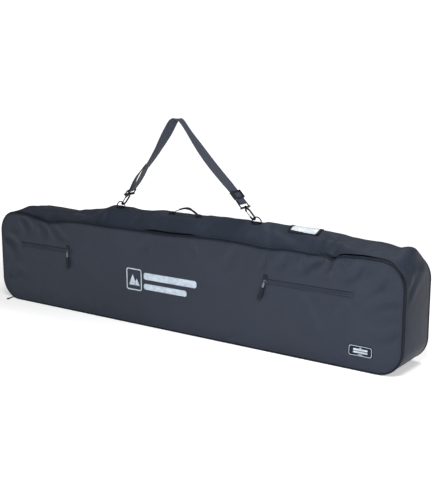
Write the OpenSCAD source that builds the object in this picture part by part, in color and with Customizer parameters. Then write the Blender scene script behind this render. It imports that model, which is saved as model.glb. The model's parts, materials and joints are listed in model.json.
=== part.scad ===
// Padded snowboard bag, closed and standing on its narrow base.
// X runs along the bag, the lid faces -Y and Z is up.
// The origin is the centre of the flat base.

/* [Body] */
// Overall length of the bag
body_l = 1650; // [1500:10:1800]
// Depth of the bag from the lid to the back
body_d = 190; // [180:5:240]
// Height of the side panels
body_h = 340; // [320:5:400]
// Corner radius of the side panels
corner_r = 80; // [70:1:90]
// How far the top swells above the panel edges
crown_h = 44; // [30:1:50]
// Sharpness of the swell towards the left end
crown_power_left = 3.5; // [2.5:0.5:5]
// Sharpness of the swell towards the right end
crown_power_right = 8; // [5:0.5:9]
// Thickness of the coated outer fabric
fabric_t = 2.4; // [2:0.1:2.6]
// Thickness of the foam padding
foam_t = 6; // [4:0.5:6.5]
// Thickness of the lining
lining_t = 1.2; // [1:0.1:1.5]
// Radius of the piping round both panels
piping_r = 3; // [2.5:0.1:3]

/* [Pockets] */
// Centre of the left pocket zip along the bag
left_zip_x = -586; // [-600:1:-560]
// Centre of the right pocket zip along the bag
right_zip_x = 506; // [480:1:520]
// Height of the left pocket zip
left_zip_z = 221; // [200:1:240]
// Height of the right pocket zip
right_zip_z = 227; // [200:1:240]
// Length of the left pocket zip
left_zip_l = 240; // [200:1:250]
// Length of the right pocket zip
right_zip_l = 300; // [260:1:310]
// Lean of the right puller from straight down, in degrees
puller_lean = 20; // [0:1:30]

/* [Carrying gear] */
// Centre of the handle along the bag
gear_x = -16; // [-30:1:30]
// Distance from one D-ring to the other
ring_gap = 570; // [500:5:600]
// Height of the top of the shoulder strap
strap_top_z = 718; // [650:2:760]
// Distance of the strap's top from the bag's centre
strap_top_x = -47; // [-80:1:40]
// Width of the shoulder webbing
webbing_w = 40; // [38:0.5:41]
// Thickness of the shoulder webbing
webbing_t = 2; // [1.5:0.1:2.2]
// Radius of the D-ring wire
ring_r = 2; // [1.8:0.1:2.1]
// Distance between the handle's sewn ends
handle_l = 114; // [105:1:130]
// Height of the handle above the top
handle_rise = 25; // [22:1:35]

/* [Hidden] */
$fn = 64;

half_l = body_l / 2;
half_d = body_d / 2;
corner_x = half_l - corner_r;
corner_top_z = body_h - corner_r;
play = 0.2;
// Room between the swollen top and its foam, whose facets don't line up
layer_gap = 1.1;

// Layers across the depth, from the lid to the back
lid_front = -half_d;
lid_back = lid_front + fabric_t;
front_piping_back = lid_front + 2 * piping_r;
coil_front = front_piping_back + 3;
coil_split = coil_front + 1.5;
coil_back = coil_front + 3;
tape_back = coil_back + 3.5;
band_front = tape_back;
band_back = half_d - 2 * piping_r;
base_front = coil_front + 2;
rim = 2 * piping_r + play;

// Inset of each layer of the band from the overall outline
band_e = 1.5;
foam_e = band_e + fabric_t;
lining_e = foam_e + foam_t;
inner_e = lining_e + lining_t;
band_mid_y = (band_front + band_back) / 2;
band_half_w = (band_back - band_front) / 2;

// Inset and thickness of the main zip's tape and coil
tape_e = 2.2;
zip_t = 1.4;
coil_e = 1.2;
coil_t = 2.6;

// The zip ends and the parked slider, as angles down the lower corners
zip_end_a = 70;
// The lid half of the coil stops above the hinge line
lid_coil_end_a = 61;
slider_a = 64;
slider_len = 10;
bridge_h = 3.2;
bridge_r = 0.8;

// The main puller's turn from straight ahead and its tip from straight down, in degrees
main_turn = 5;
main_tip = 88;
main_tab_w = 9;
main_tab_len = 16;

// Pockets
slot_h = 14;
welt_t = 1.1;
welt_h = 20;
puller_len = 26;
pull_tab_len = 42;
pull_tab_w = 13;
pocket_y = lid_front - 0.1;
bridge_y = pocket_y - 2.9 - bridge_h;

// Rings, hooks and strap
ring_bend = 18;
ring_x = [gear_x - ring_gap / 2, gear_x + ring_gap / 2];
top_z = body_h - band_e;
gear_base_z = top_z + crown_h;
tab_t = 2.5;
ring_z = gear_base_z + tab_t + ring_r + 0.4;
contact_x = 12.3;
contact_z = ring_z + sqrt(ring_bend * ring_bend - contact_x * contact_x);
left_contact = [ring_x[0] + contact_x, contact_z];
right_contact = [ring_x[1] - contact_x, contact_z];
left_a = atan2(strap_top_z - contact_z, strap_top_x - left_contact[0]);
right_a = atan2(strap_top_z - contact_z, right_contact[0] - strap_top_x);
hook_wire = 3;
hook_bend = 9.8;
bow_t = hook_bend - hook_wire - ring_r - 0.3;
hook_top_t = bow_t + 25;
neck_t = hook_top_t + hook_bend;
shank_r = 3;
eye_t = neck_t + 2.8;
eye_block = 4.4;
rod_t = eye_t + 20;
rod_r = 2.2;
wrap_r = rod_r + 0.3 + webbing_t / 2;
loop_end_t = rod_t + 120;
return_end_t = rod_t + 17;
adjuster_t = rod_t + 32;

// Handle
handle_x = [gear_x - handle_l / 2, gear_x + handle_l / 2];
handle_z = gear_base_z + 8.5;
anchor_w = 15;

// ---------- shared shapes ----------

// Stands a drawing of (x, z) up and gives it depth from y0 to y1
module across(y0, y1) {
    translate([0, y1, 0])
        rotate([90, 0, 0])
            linear_extrude(y1 - y0)
                children();
}

// Side outline, inset by e at the ends and top, with its base at height b
module outline(e, b) {
    r = corner_r - e;
    x = half_l - e;
    top = body_h - e;
    translate([-corner_x, b])
        square([2 * corner_x, top - b]);
    translate([-x, b + r])
        square([2 * x, top - b - 2 * r]);
    for (side = [-1, 1])
        for (z = [b + r, top - r])
            translate([side * corner_x, z])
                circle(r);
}

// Band between two insets of the side outline
module band(e0, b0, e1, b1) {
    difference() {
        outline(e0, b0);
        outline(e1, b1);
    }
}

// Keeps the part of a drawing beyond one pair of corners, side -1 or 1
module end_part(side) {
    intersection() {
        children();
        translate([side * (corner_x + half_l) / 2, body_h / 2])
            square([half_l - corner_x, 2 * body_h], center = true);
    }
}

// Keeps the part of a drawing that the main zip covers
module zip_part(end_a = zip_end_a) {
    reach = 4 * corner_r;
    dx = reach * cos(end_a);
    dz = reach * sin(end_a);
    difference() {
        children();
        polygon([[-corner_x, corner_r], [-corner_x - dx, corner_r - dz],
            [corner_x + dx, corner_r - dz], [corner_x, corner_r]]);
    }
}

// Height of the swollen top above the panel edges
function swell(x, y) =
    crown_h * (1 - pow(min(1, abs(x) / corner_x), x < 0 ? crown_power_left : crown_power_right))
    * max(0, 1 - pow((y - band_mid_y) / band_half_w, 2));

// Slab that follows the swollen top, from z0 up to z0 + t
module crowned_slab(x0, x1, y0, y1, z0, t, nx, ny) {
    row = ny + 1;
    half = (nx + 1) * row;
    points = [for (level = [0, 1]) for (i = [0 : nx]) for (j = [0 : ny])
        let (x = x0 + (x1 - x0) * i / nx, y = y0 + (y1 - y0) * j / ny)
        [x, y, z0 + level * t + swell(x, y)]];
    lower = [for (i = [0 : nx - 1]) for (j = [0 : ny - 1])
        let (a = i * row + j) each [[a, a + row, a + row + 1], [a, a + row + 1, a + 1]]];
    upper = [for (i = [0 : nx - 1]) for (j = [0 : ny - 1])
        let (a = half + i * row + j) each [[a, a + row + 1, a + row], [a, a + 1, a + row + 1]]];
    sides_y = [for (i = [0 : nx - 1])
        let (a = i * row, b = i * row + ny)
        each [[a, half + a, half + a + row, a + row], [b, b + row, half + b + row, half + b]]];
    sides_x = [for (j = [0 : ny - 1])
        let (a = j, b = nx * row + j)
        each [[a, a + 1, half + a + 1, half + a], [b, half + b, half + b + 1, b + 1]]];
    polyhedron(points, concat(lower, upper, sides_y, sides_x), convexity = 4);
}

// Round piping along the side outline, centred at depth y
module piping(y) {
    r = corner_r - piping_r;
    x = half_l - piping_r;
    translate([0, y, 0]) {
        for (z = [piping_r, body_h - piping_r])
            translate([-corner_x, 0, z])
                rotate([0, 90, 0])
                    cylinder(r = piping_r, h = 2 * corner_x);
        for (side = [-1, 1])
            translate([side * x, 0, corner_r])
                cylinder(r = piping_r, h = body_h - 2 * corner_r);
        for (corner = [[corner_x, corner_top_z, 0], [-corner_x, corner_top_z, 90],
            [-corner_x, corner_r, 180], [corner_x, corner_r, 270]])
            translate([corner[0], 0, corner[1]])
                rotate([90, 0, 0])
                    rotate([0, 0, corner[2]])
                        rotate_extrude(angle = 90)
                            translate([r, 0])
                                circle(piping_r);
    }
}

// Straight rod between two points
module rod(a, b, r) {
    d = b - a;
    translate(a)
        rotate([0, acos(d[2] / norm(d)), atan2(d[1], d[0])])
            cylinder(r = r, h = norm(d));
}

// Zip slider on a zip that runs along X and faces -Y, its bridge on the X axis
module slider() {
    translate([-slider_len / 2, bridge_h, -3.8])
        cube([slider_len, 2.8, 7.6]);
    for (side = [-1, 1])
        translate([side * 3.6, bridge_h + 0.1, 0])
            rotate([90, 0, 0])
                cylinder(r = bridge_r, h = bridge_h + 0.1 + bridge_r);
    rod([-3.6, 0, 0], [3.6, 0, 0], bridge_r);
}

// Metal tongue that hangs from the bridge, down to -puller_len
module puller() {
    rotate([0, 90, 0])
        rotate_extrude()
            translate([2.4, 0])
                circle(0.7, $fn = 32);
    across(-0.7, 0.7)
        polygon([[-1.4, -2.6], [1.4, -2.6], [3.5, -6], [3.5, -puller_len], [-3.5, -puller_len], [-3.5, -6]]);
}

// Grip tab, moulded over the end of the tongue
module pull_tab(w, len) {
    top = -puller_len + 5;
    difference() {
        across(-1.5, 1.5)
            hull() {
                translate([-w / 2 + 1.5, top - 2])
                    square([w - 3, 2]);
                for (side = [-1, 1])
                    translate([side * (w / 2 - 3), top - len + 3])
                        circle(3, $fn = 32);
            }
        across(-0.9, 0.9)
            translate([-3.7, -puller_len - play])
                square([7.4, 6]);
    }
}

// Places a piece on a pocket's bridge
module at_pocket(x, z, lean) {
    translate([x, bridge_y, z])
        rotate([0, lean, 0])
            children();
}

// Places a piece that is drawn for a zip along X onto the parked main slider
module at_main_slider() {
    y = (coil_front + coil_back) / 2;
    translate([-corner_x, y, corner_r])
        rotate([0, -slider_a, 0])
            translate([-corner_r - 2.9 - bridge_h + band_e - 0.5, 0, 0])
                rotate([0, 0, -90])
                    rotate([0, 90, 0])
                        children();
}

// Places a piece that hangs from a pocket bridge onto the main slider's, lying near the ground in front of the bag
module at_main_puller() {
    radius = corner_r + 2.9 + bridge_h - band_e + 0.5;
    y = (coil_front + coil_back) / 2;
    translate([-corner_x - radius * cos(slider_a), y, corner_r - radius * sin(slider_a)])
        rotate([0, 0, main_turn])
            rotate([-main_tip, 0, 0])
                children();
}

// ---------- back and band ----------

module back_panel() {
    color("#343947")
        across(half_d - fabric_t, half_d)
            outline(rim, rim);
}

module back_foam() {
    color("#8f9399")
        across(half_d - fabric_t - foam_t, half_d - fabric_t)
            outline(inner_e, inner_e);
}

module back_lining() {
    y = half_d - fabric_t - foam_t;
    color("#23262e")
        across(y - lining_t, y)
            outline(inner_e, inner_e);
}

module gusset_top() {
    color("#343947")
        crowned_slab(-corner_x, corner_x, band_front, band_back, top_z - fabric_t, fabric_t, 32, 10);
}

module gusset_base() {
    color("#2c303b")
        translate([-corner_x, base_front, 0])
            cube([2 * corner_x, band_back - base_front, fabric_t]);
}

module gusset_end(side) {
    color("#343947")
        across(band_front, band_back)
            end_part(side)
                band(band_e, 0, foam_e, fabric_t);
}

module gusset_left() {
    gusset_end(-1);
}

module gusset_right() {
    gusset_end(1);
}

module top_foam() {
    y1 = half_d - fabric_t - foam_t - lining_t;
    color("#8f9399")
        crowned_slab(-corner_x, corner_x, band_front, y1, top_z - fabric_t - layer_gap - foam_t, foam_t,
            32, 10);
}

module base_foam() {
    y1 = half_d - fabric_t - foam_t - lining_t;
    color("#8f9399")
        translate([-corner_x, band_front, fabric_t])
            cube([2 * corner_x, y1 - band_front, foam_t]);
}

module end_foams() {
    y1 = half_d - fabric_t - foam_t - lining_t;
    color("#8f9399")
        for (side = [-1, 1])
            across(band_front, y1)
                end_part(side)
                    band(foam_e, fabric_t, lining_e, fabric_t + foam_t);
}

module top_lining() {
    y1 = half_d - fabric_t - foam_t - lining_t;
    color("#23262e")
        crowned_slab(-corner_x, corner_x, band_front, y1,
            top_z - fabric_t - layer_gap - foam_t - 0.1 - lining_t, lining_t, 32, 10);
}

module band_lining() {
    y1 = half_d - fabric_t - foam_t - lining_t;
    low = fabric_t + foam_t;
    color("#23262e")
        across(band_front, y1)
            difference() {
                band(lining_e, low, inner_e, low + lining_t);
                translate([-corner_x, body_h / 2])
                    square([2 * corner_x, body_h]);
            }
}

module back_piping() {
    color("#1c2230")
        piping(half_d - piping_r);
}

module main_zip_tape_inner() {
    color("#1c2230")
        across(coil_back, tape_back)
            zip_part()
                band(tape_e, tape_e, tape_e + zip_t, tape_e + zip_t);
}

module main_zip_coil_inner() {
    color("#15171c")
        across(coil_split + 0.1, coil_back)
            zip_part()
                band(coil_e, coil_e, coil_e + coil_t, coil_e + coil_t);
}

// ---------- identity window on the top ----------

id_x = 445;
id_y = 8;
id_w = 104;
id_d = 62;

module id_window_frame() {
    color("#1c2230")
        difference() {
            crowned_slab(id_x - id_w / 2, id_x + id_w / 2, id_y - id_d / 2, id_y + id_d / 2,
                top_z + 0.3, 1.4, 12, 8);
            translate([id_x, id_y, top_z + crown_h / 2])
                cube([id_w - 16, id_d - 14, 3 * crown_h], center = true);
        }
}

module id_window() {
    w = id_w - 16.4;
    d = id_d - 14.4;
    color([0.9, 0.93, 0.96, 0.4])
        crowned_slab(id_x - w / 2, id_x + w / 2, id_y - d / 2, id_y + d / 2, top_z + 1, 0.5, 12, 8);
}

module id_card() {
    w = id_w - 20;
    d = id_d - 18;
    color("white")
        crowned_slab(id_x - w / 2, id_x + w / 2, id_y - d / 2, id_y + d / 2, top_z + 0.3, 0.4, 12, 8);
}

// ---------- sewn bases of the rings and handle ----------

module ring_tab(x) {
    color("#1c2230")
        translate([x, 0, 0])
            difference() {
                union() {
                    translate([-11, -13, gear_base_z + 0.1])
                        cube([22, 26, tab_t]);
                    translate([-11, 0, ring_z])
                        rotate([0, 90, 0])
                            cylinder(r = ring_r + 2, h = 22);
                }
                translate([-12, 0, ring_z])
                    rotate([0, 90, 0])
                        cylinder(r = ring_r + 0.08, h = 24);
            }
}

module ring_tab_left() {
    ring_tab(ring_x[0]);
}

module ring_tab_right() {
    ring_tab(ring_x[1]);
}

module handle_anchor(x) {
    color("#1c2230") {
        translate([x - anchor_w / 2, -12.5, gear_base_z + 0.1])
            cube([anchor_w, 25, 4]);
        translate([x - anchor_w / 2, -8, gear_base_z + 4])
            cube([anchor_w, 16, 6]);
    }
}

module handle_anchor_left() {
    handle_anchor(handle_x[0]);
}

module handle_anchor_right() {
    handle_anchor(handle_x[1]);
}

// ---------- lid ----------

module lid_panel() {
    color("#3a404f")
        across(lid_front, lid_back)
            difference() {
                outline(rim, rim);
                translate([left_zip_x, left_zip_z])
                    square([left_zip_l + 4, slot_h], center = true);
                translate([right_zip_x, right_zip_z])
                    square([right_zip_l + 4, slot_h], center = true);
            }
}

pocket_depth = 150;
bag_t = 2.4;

module pocket_drawing(x, z, len, grow) {
    translate([x - len / 2 - 20 - grow, z - pocket_depth - grow])
        square([len + 40 + 2 * grow, pocket_depth + 12 + 2 * grow]);
}

module lid_foam() {
    color("#8f9399")
        difference() {
            across(lid_back + 0.1, lid_back + foam_t + 1.6)
                outline(inner_e, 14);
            across(lid_back - 1, lid_back + bag_t + 0.2) {
                pocket_drawing(left_zip_x, left_zip_z, left_zip_l, 1);
                pocket_drawing(right_zip_x, right_zip_z, right_zip_l, 1);
            }
        }
}

module lid_lining() {
    y = lid_back + foam_t + 1.7;
    color("#23262e")
        across(y, y + lining_t)
            outline(inner_e, 14);
}

module front_piping() {
    color("#1c2230")
        piping(lid_front + piping_r);
}

module main_zip_tape_outer() {
    color("#1c2230")
        across(front_piping_back, coil_front)
            zip_part()
                band(tape_e, tape_e, tape_e + zip_t, tape_e + zip_t);
}

module main_zip_coil_outer() {
    color("#15171c")
        across(coil_front, coil_split - 0.1)
            zip_part(lid_coil_end_a)
                band(coil_e, coil_e, coil_e + coil_t, coil_e + coil_t);
}

module pocket_welt(x, z, len) {
    color("#2c3140")
        translate([x, 0, z])
            across(lid_front - welt_t, lid_front - 0.05)
                difference() {
                    square([len + 14, welt_h], center = true);
                    square([len, 9], center = true);
                }
}

module left_pocket_welt() {
    pocket_welt(left_zip_x, left_zip_z, left_zip_l);
}

module right_pocket_welt() {
    pocket_welt(right_zip_x, right_zip_z, right_zip_l);
}

module pocket_zip(x, z, len) {
    color("#15171c")
        translate([x, 0, z]) {
            across(lid_front + 1.2, lid_front + 2)
                square([len + 3, slot_h - 0.6], center = true);
            across(lid_front + 0.1, lid_front + 1.3)
                square([len - 1, 5], center = true);
        }
}

module left_pocket_zip() {
    pocket_zip(left_zip_x, left_zip_z, left_zip_l);
}

module right_pocket_zip() {
    pocket_zip(right_zip_x, right_zip_z, right_zip_l);
}

// Small fabric cover above the end where the slider parks
module pocket_garage(x, z) {
    color("#1c2230")
        translate([x, 0, z + welt_h / 2 + 5.2])
            across(lid_front - welt_t, lid_front - 0.05)
                square([18, 10], center = true);
}

module left_pocket_garage() {
    pocket_garage(left_zip_x + left_zip_l / 2 - 8, left_zip_z);
}

module right_pocket_garage() {
    pocket_garage(right_zip_x - right_zip_l / 2 + 8, right_zip_z);
}

module left_pocket_bag() {
    color("#23262e")
        across(lid_back + 0.1, lid_back + bag_t)
            pocket_drawing(left_zip_x, left_zip_z, left_zip_l, 0);
}

module right_pocket_bag() {
    color("#23262e")
        across(lid_back + 0.1, lid_back + bag_t)
            pocket_drawing(right_zip_x, right_zip_z, right_zip_l, 0);
}

mark_x = -205;
mark_z = 158;
mark_h = 74;
mark_l = 300;

// Plain printed peak with two bars beside it
module front_mark() {
    peak_w = 92;
    bar_x = mark_x + peak_w + 12;
    bar_l = mark_l - peak_w - 12;
    color("white")
        across(lid_front - 0.4, lid_front - 0.05) {
            translate([mark_x, mark_z - mark_h / 2])
                difference() {
                    polygon([[0, 0], [peak_w * 0.42, mark_h], [peak_w, 0]]);
                    polygon([[16, 7], [peak_w * 0.42, mark_h - 26], [peak_w - 20, 7]]);
                }
            translate([bar_x, mark_z + 8])
                square([bar_l, 22]);
            translate([bar_x, mark_z - 30])
                square([bar_l * 0.78, 22]);
        }
}

label_x = 691;
label_z = 61;

module label_patch() {
    color("#2c3140")
        translate([label_x, 0, label_z])
            across(lid_front - 1, lid_front - 0.05)
                hull()
                    for (x = [-33, 33])
                        for (z = [-11, 11])
                            translate([x, z])
                                circle(6, $fn = 32);
}

// ---------- zip sliders ----------

left_park_x = left_zip_x + left_zip_l / 2 - 8;
right_park_x = right_zip_x - right_zip_l / 2 + 8;

module left_slider() {
    color("#9aa0a8")
        at_pocket(left_park_x, left_zip_z, 0)
            slider();
}

module left_puller() {
    color("#9aa0a8")
        at_pocket(left_park_x, left_zip_z, 0)
            puller();
}

module left_pull_tab() {
    color("#23262e")
        at_pocket(left_park_x, left_zip_z, 0)
            pull_tab(pull_tab_w, pull_tab_len);
}

module right_slider() {
    color("#9aa0a8")
        at_pocket(right_park_x, right_zip_z, 0)
            slider();
}

module right_puller() {
    color("#9aa0a8")
        at_pocket(right_park_x, right_zip_z, puller_lean)
            puller();
}

module right_pull_tab() {
    color("#23262e")
        at_pocket(right_park_x, right_zip_z, puller_lean)
            pull_tab(pull_tab_w + 2, pull_tab_len);
}

module main_slider() {
    color("#2b2d31")
        at_main_slider()
            slider();
}

module main_puller() {
    color("#2b2d31")
        at_main_puller()
            puller();
}

module main_pull_tab() {
    color("#23262e")
        at_main_puller()
            pull_tab(main_tab_w, main_tab_len);
}

// ---------- rings, hooks and shoulder strap ----------

module ring(x) {
    color("#2b2d31")
        translate([x, 0, ring_z]) {
            rod([-ring_bend, 0, 0], [ring_bend, 0, 0], ring_r);
            rotate([90, 0, 0])
                rotate_extrude(angle = 180)
                    translate([ring_bend, 0])
                        circle(ring_r);
            for (side = [-1, 1])
                translate([side * ring_bend, 0, 0])
                    sphere(ring_r);
        }
}

module ring_left() {
    ring(ring_x[0]);
}

module ring_right() {
    ring(ring_x[1]);
}

// Places a piece drawn up the Z axis onto the left or right leg of the strap
module on_leg(side) {
    if (side < 0)
        translate([left_contact[0], 0, left_contact[1]])
            rotate([0, 90 - left_a, 0])
                children();
    else
        translate([right_contact[0], 0, right_contact[1]])
            rotate([0, right_a - 90, 0])
                children();
}

// Snap hook whose bow holds the ring, with a gap for the gate on its -Y side
module hook_shape() {
    translate([0, 0, bow_t])
        rotate([90, 0, 90])
            rotate([0, 0, 180])
                rotate_extrude(angle = 180)
                    translate([hook_bend, 0])
                        circle(hook_wire);
    translate([0, 0, hook_top_t])
        rotate([90, 0, 90])
            rotate_extrude(angle = 180)
                translate([hook_bend, 0])
                    circle(hook_wire);
    rod([0, hook_bend, bow_t], [0, hook_bend, hook_top_t], hook_wire);
    rod([0, -hook_bend, bow_t], [0, -hook_bend, bow_t + 3], hook_wire);
    cylinder_between(neck_t - 1, eye_t + eye_block + 0.3, shank_r);
    cylinder_between(eye_t + eye_block + 0.3, eye_t + eye_block + 2.3, shank_r + 1.6);
}

module cylinder_between(z0, z1, r) {
    translate([0, 0, z0])
        cylinder(r = r, h = z1 - z0);
}

module hook_left() {
    color("#2b2d31")
        on_leg(-1)
            hook_shape();
}

module hook_right() {
    color("#2b2d31")
        on_leg(1)
            hook_shape();
}

gate_r = hook_wire - 1;
gate_pivot_t = hook_top_t - 0.3 - gate_r;

// Sprung gate that closes the gap in the hook, rounded where it pivots
module gate_shape() {
    rod([0, -hook_bend, bow_t + 3.4], [0, -hook_bend, gate_pivot_t], gate_r);
    translate([0, -hook_bend, gate_pivot_t])
        sphere(gate_r);
}

module gate_left() {
    color("#6d7178")
        on_leg(-1)
            gate_shape();
}

module gate_right() {
    color("#6d7178")
        on_leg(1)
            gate_shape();
}

// Swivel eye: a block bored for the hook's shank under a loop for the webbing
module hook_eye() {
    side_y = webbing_w / 2 + 1 + rod_r;
    difference() {
        translate([-4, -side_y - rod_r, eye_t])
            cube([8, 2 * (side_y + rod_r), eye_block]);
        cylinder_between(eye_t - 1, eye_t + eye_block + 1, shank_r + 0.08);
    }
    for (side = [-1, 1]) {
        rod([0, side * side_y, eye_t + eye_block - 0.5], [0, side * side_y, rod_t], rod_r);
        translate([0, side * side_y, rod_t])
            sphere(rod_r);
    }
    rod([0, -side_y, rod_t], [0, side_y, rod_t], rod_r);
}

module hook_eye_left() {
    color("#2b2d31")
        on_leg(-1)
            hook_eye();
}

module hook_eye_right() {
    color("#2b2d31")
        on_leg(1)
            hook_eye();
}

// Point at distance t up a leg and w to its right, as (x, z)
function left_at(t, w) = [left_contact[0] + t * cos(left_a) + w * sin(left_a),
    left_contact[1] + t * sin(left_a) - w * cos(left_a)];
function right_at(t, w) = [right_contact[0] - t * cos(right_a) + w * sin(right_a),
    right_contact[1] + t * sin(right_a) + w * cos(right_a)];

apex_r = 16;
left_len = (strap_top_z - contact_z) / sin(left_a);
right_len = (strap_top_z - contact_z) / sin(right_a);
apex_cut = apex_r / tan((180 - left_a - right_a) / 2 + 1);
apex_l = left_at(left_len - apex_cut, 0);
apex_rt = right_at(right_len - apex_cut, 0);
apex_c = left_at(left_len - apex_cut, apex_r);

// Centre line of the strap from the left leg, over the top, down the right leg
strap_line = concat(
    [left_at(loop_end_t - 12, 0)],
    [for (i = [0 : 8])
        let (a = 90 + left_a - i * (left_a + right_a) / 8)
        apex_c + apex_r * [cos(a), sin(a)]],
    [right_at(rod_t, wrap_r)]);

// Side of a strip at distance s from its centre line
function strip_side(line, s) = [for (i = [0 : len(line) - 1])
    let (a = line[max(0, i - 1)], b = line[min(len(line) - 1, i + 1)], d = (b - a) / norm(b - a))
    line[i] + s * [-d[1], d[0]]];
function reversed(v) = [for (i = [len(v) - 1 : -1 : 0]) v[i]];

// Flat drawing of a strip of webbing along a line
module strip(line, t) {
    polygon(concat(strip_side(line, t / 2), reversed(strip_side(line, -t / 2))));
}

// Loose eye that the webbing makes round the left hook's rod
left_loop_bulge = 7;
left_loop = concat(
    [left_at(loop_end_t, webbing_t / 2 + 0.1)],
    [for (i = [10 : -1 : 0])
        let (u = i / 10)
        left_at(rod_t + u * (loop_end_t - rod_t - 12),
            wrap_r * (1 - u) + left_loop_bulge * sin(180 * u) + (webbing_t / 2 + 0.1) * u)],
    [for (a = [-30 : -30 : -150]) left_at(rod_t + wrap_r * sin(a), wrap_r * cos(a))],
    [for (i = [0 : 10])
        let (u = i / 10)
        left_at(rod_t + u * (loop_end_t - rod_t - 12),
            -wrap_r * (1 - u) - left_loop_bulge * sin(180 * u) - (webbing_t / 2 + 0.1) * u)],
    [left_at(loop_end_t, -webbing_t / 2 - 0.1)]);

right_wrap = [for (a = [0 : -30 : -180]) right_at(rod_t + wrap_r * sin(a), wrap_r * cos(a))];

module strap_webbing() {
    color("#565967")
        across(-webbing_w / 2, webbing_w / 2) {
            strip(strap_line, webbing_t);
            strip(left_loop, webbing_t);
            strip(right_wrap, webbing_t);
        }
}

// Free end of the webbing, which runs back up from the right eye to the adjuster
module strap_return() {
    color("#565967")
        across(-webbing_w / 2, webbing_w / 2)
            strip([right_at(rod_t + 0.4, -wrap_r), right_at(return_end_t, -webbing_t)], webbing_t);
}

strap_lean = atan(wrap_r / (right_len - apex_cut - rod_t));

// Three-bar slide: two bars over the webbing and one under it
module strap_adjuster() {
    side_y = webbing_w / 2 + 2.6;
    bar = 2;
    gap = webbing_t / 2 + bar + 0.5;
    w = wrap_r * (right_len - apex_cut - adjuster_t) / (right_len - apex_cut - rod_t);
    color("#2b2d31")
        on_leg(1)
            translate([w, 0, adjuster_t])
                rotate([0, -strap_lean, 0]) {
                    for (z = [-13, 13])
                        rod([gap, -side_y, z], [gap, side_y, z], bar);
                    rod([-gap, -side_y, 0], [-gap, side_y, 0], bar);
                    for (side = [-1, 1])
                        translate([-gap - bar, side * side_y - bar, -13 - bar])
                            cube([2 * (gap + bar), 2 * bar, 26 + 2 * bar]);
                }
}

// ---------- handle ----------

end_gap = 1.3;
handle_end_x = [handle_x[0] + anchor_w / 2 + end_gap, handle_x[1] - anchor_w / 2 - end_gap];
handle_top_z = gear_base_z + handle_rise;
handle_skew = 1.2;
handle_line = concat([[handle_end_x[0], handle_z]],
    [for (i = [1 : 15])
        let (u = i / 16)
        [handle_end_x[0] + u * (handle_end_x[1] - handle_end_x[0]),
            handle_z + (handle_top_z - handle_z) * sin(180 * pow(u, handle_skew))]],
    [[handle_end_x[1], handle_z]]);

module handle_webbing() {
    color("#1c2230")
        across(-7, 7)
            strip(handle_line, 2.2);
}

// Folded middle of the handle, sewn round the webbing
module handle_grip() {
    middle = [for (i = [4 : 12]) handle_line[i]];
    color("#1c2230")
        difference() {
            across(-9, 9)
                strip(middle, 5.6);
            across(-7.1, 7.1)
                strip(handle_line, 2.4);
        }
}

back_panel();
back_foam();
back_lining();
gusset_top();
gusset_base();
gusset_left();
gusset_right();
top_foam();
base_foam();
end_foams();
top_lining();
band_lining();
back_piping();
main_zip_tape_inner();
main_zip_coil_inner();
id_window_frame();
id_window();
id_card();
ring_tab_left();
ring_tab_right();
handle_anchor_left();
handle_anchor_right();
lid_panel();
lid_foam();
lid_lining();
front_piping();
main_zip_tape_outer();
main_zip_coil_outer();
left_pocket_welt();
left_pocket_zip();
left_pocket_garage();
left_pocket_bag();
right_pocket_welt();
right_pocket_zip();
right_pocket_garage();
right_pocket_bag();
front_mark();
label_patch();
left_slider();
left_puller();
left_pull_tab();
right_slider();
right_puller();
right_pull_tab();
main_slider();
main_puller();
main_pull_tab();
ring_left();
ring_right();
strap_webbing();
strap_return();
strap_adjuster();
hook_eye_left();
hook_eye_right();
hook_left();
hook_right();
gate_left();
gate_right();
handle_webbing();
handle_grip();
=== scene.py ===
"""Looks of the padded snowboard bag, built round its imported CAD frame. Metres, Z up, lid facing -Y."""
import json
import math

import bmesh
import bpy
import numpy as np
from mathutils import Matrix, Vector
from mathutils.bvhtree import BVHTree


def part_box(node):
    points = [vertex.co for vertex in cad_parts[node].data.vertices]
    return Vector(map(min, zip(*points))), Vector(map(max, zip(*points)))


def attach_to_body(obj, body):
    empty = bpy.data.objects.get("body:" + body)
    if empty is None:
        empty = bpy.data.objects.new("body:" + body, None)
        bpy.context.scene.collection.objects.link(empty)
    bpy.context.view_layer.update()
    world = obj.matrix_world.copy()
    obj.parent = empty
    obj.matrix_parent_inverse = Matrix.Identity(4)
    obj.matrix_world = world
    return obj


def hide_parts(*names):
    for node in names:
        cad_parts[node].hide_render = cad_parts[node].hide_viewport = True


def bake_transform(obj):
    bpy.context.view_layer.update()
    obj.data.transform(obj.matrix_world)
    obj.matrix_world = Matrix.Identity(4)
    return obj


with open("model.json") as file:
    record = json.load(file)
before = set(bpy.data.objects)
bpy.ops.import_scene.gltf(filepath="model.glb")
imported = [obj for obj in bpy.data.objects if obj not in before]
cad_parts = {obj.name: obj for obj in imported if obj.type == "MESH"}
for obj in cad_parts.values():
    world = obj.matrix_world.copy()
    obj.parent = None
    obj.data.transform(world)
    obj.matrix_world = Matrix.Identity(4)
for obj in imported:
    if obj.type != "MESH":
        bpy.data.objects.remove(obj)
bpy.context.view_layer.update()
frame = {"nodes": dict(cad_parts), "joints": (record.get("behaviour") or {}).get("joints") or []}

rng = np.random.default_rng(7)

# ---------------------------------------------------------------- sizes, all from the frame

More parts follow.
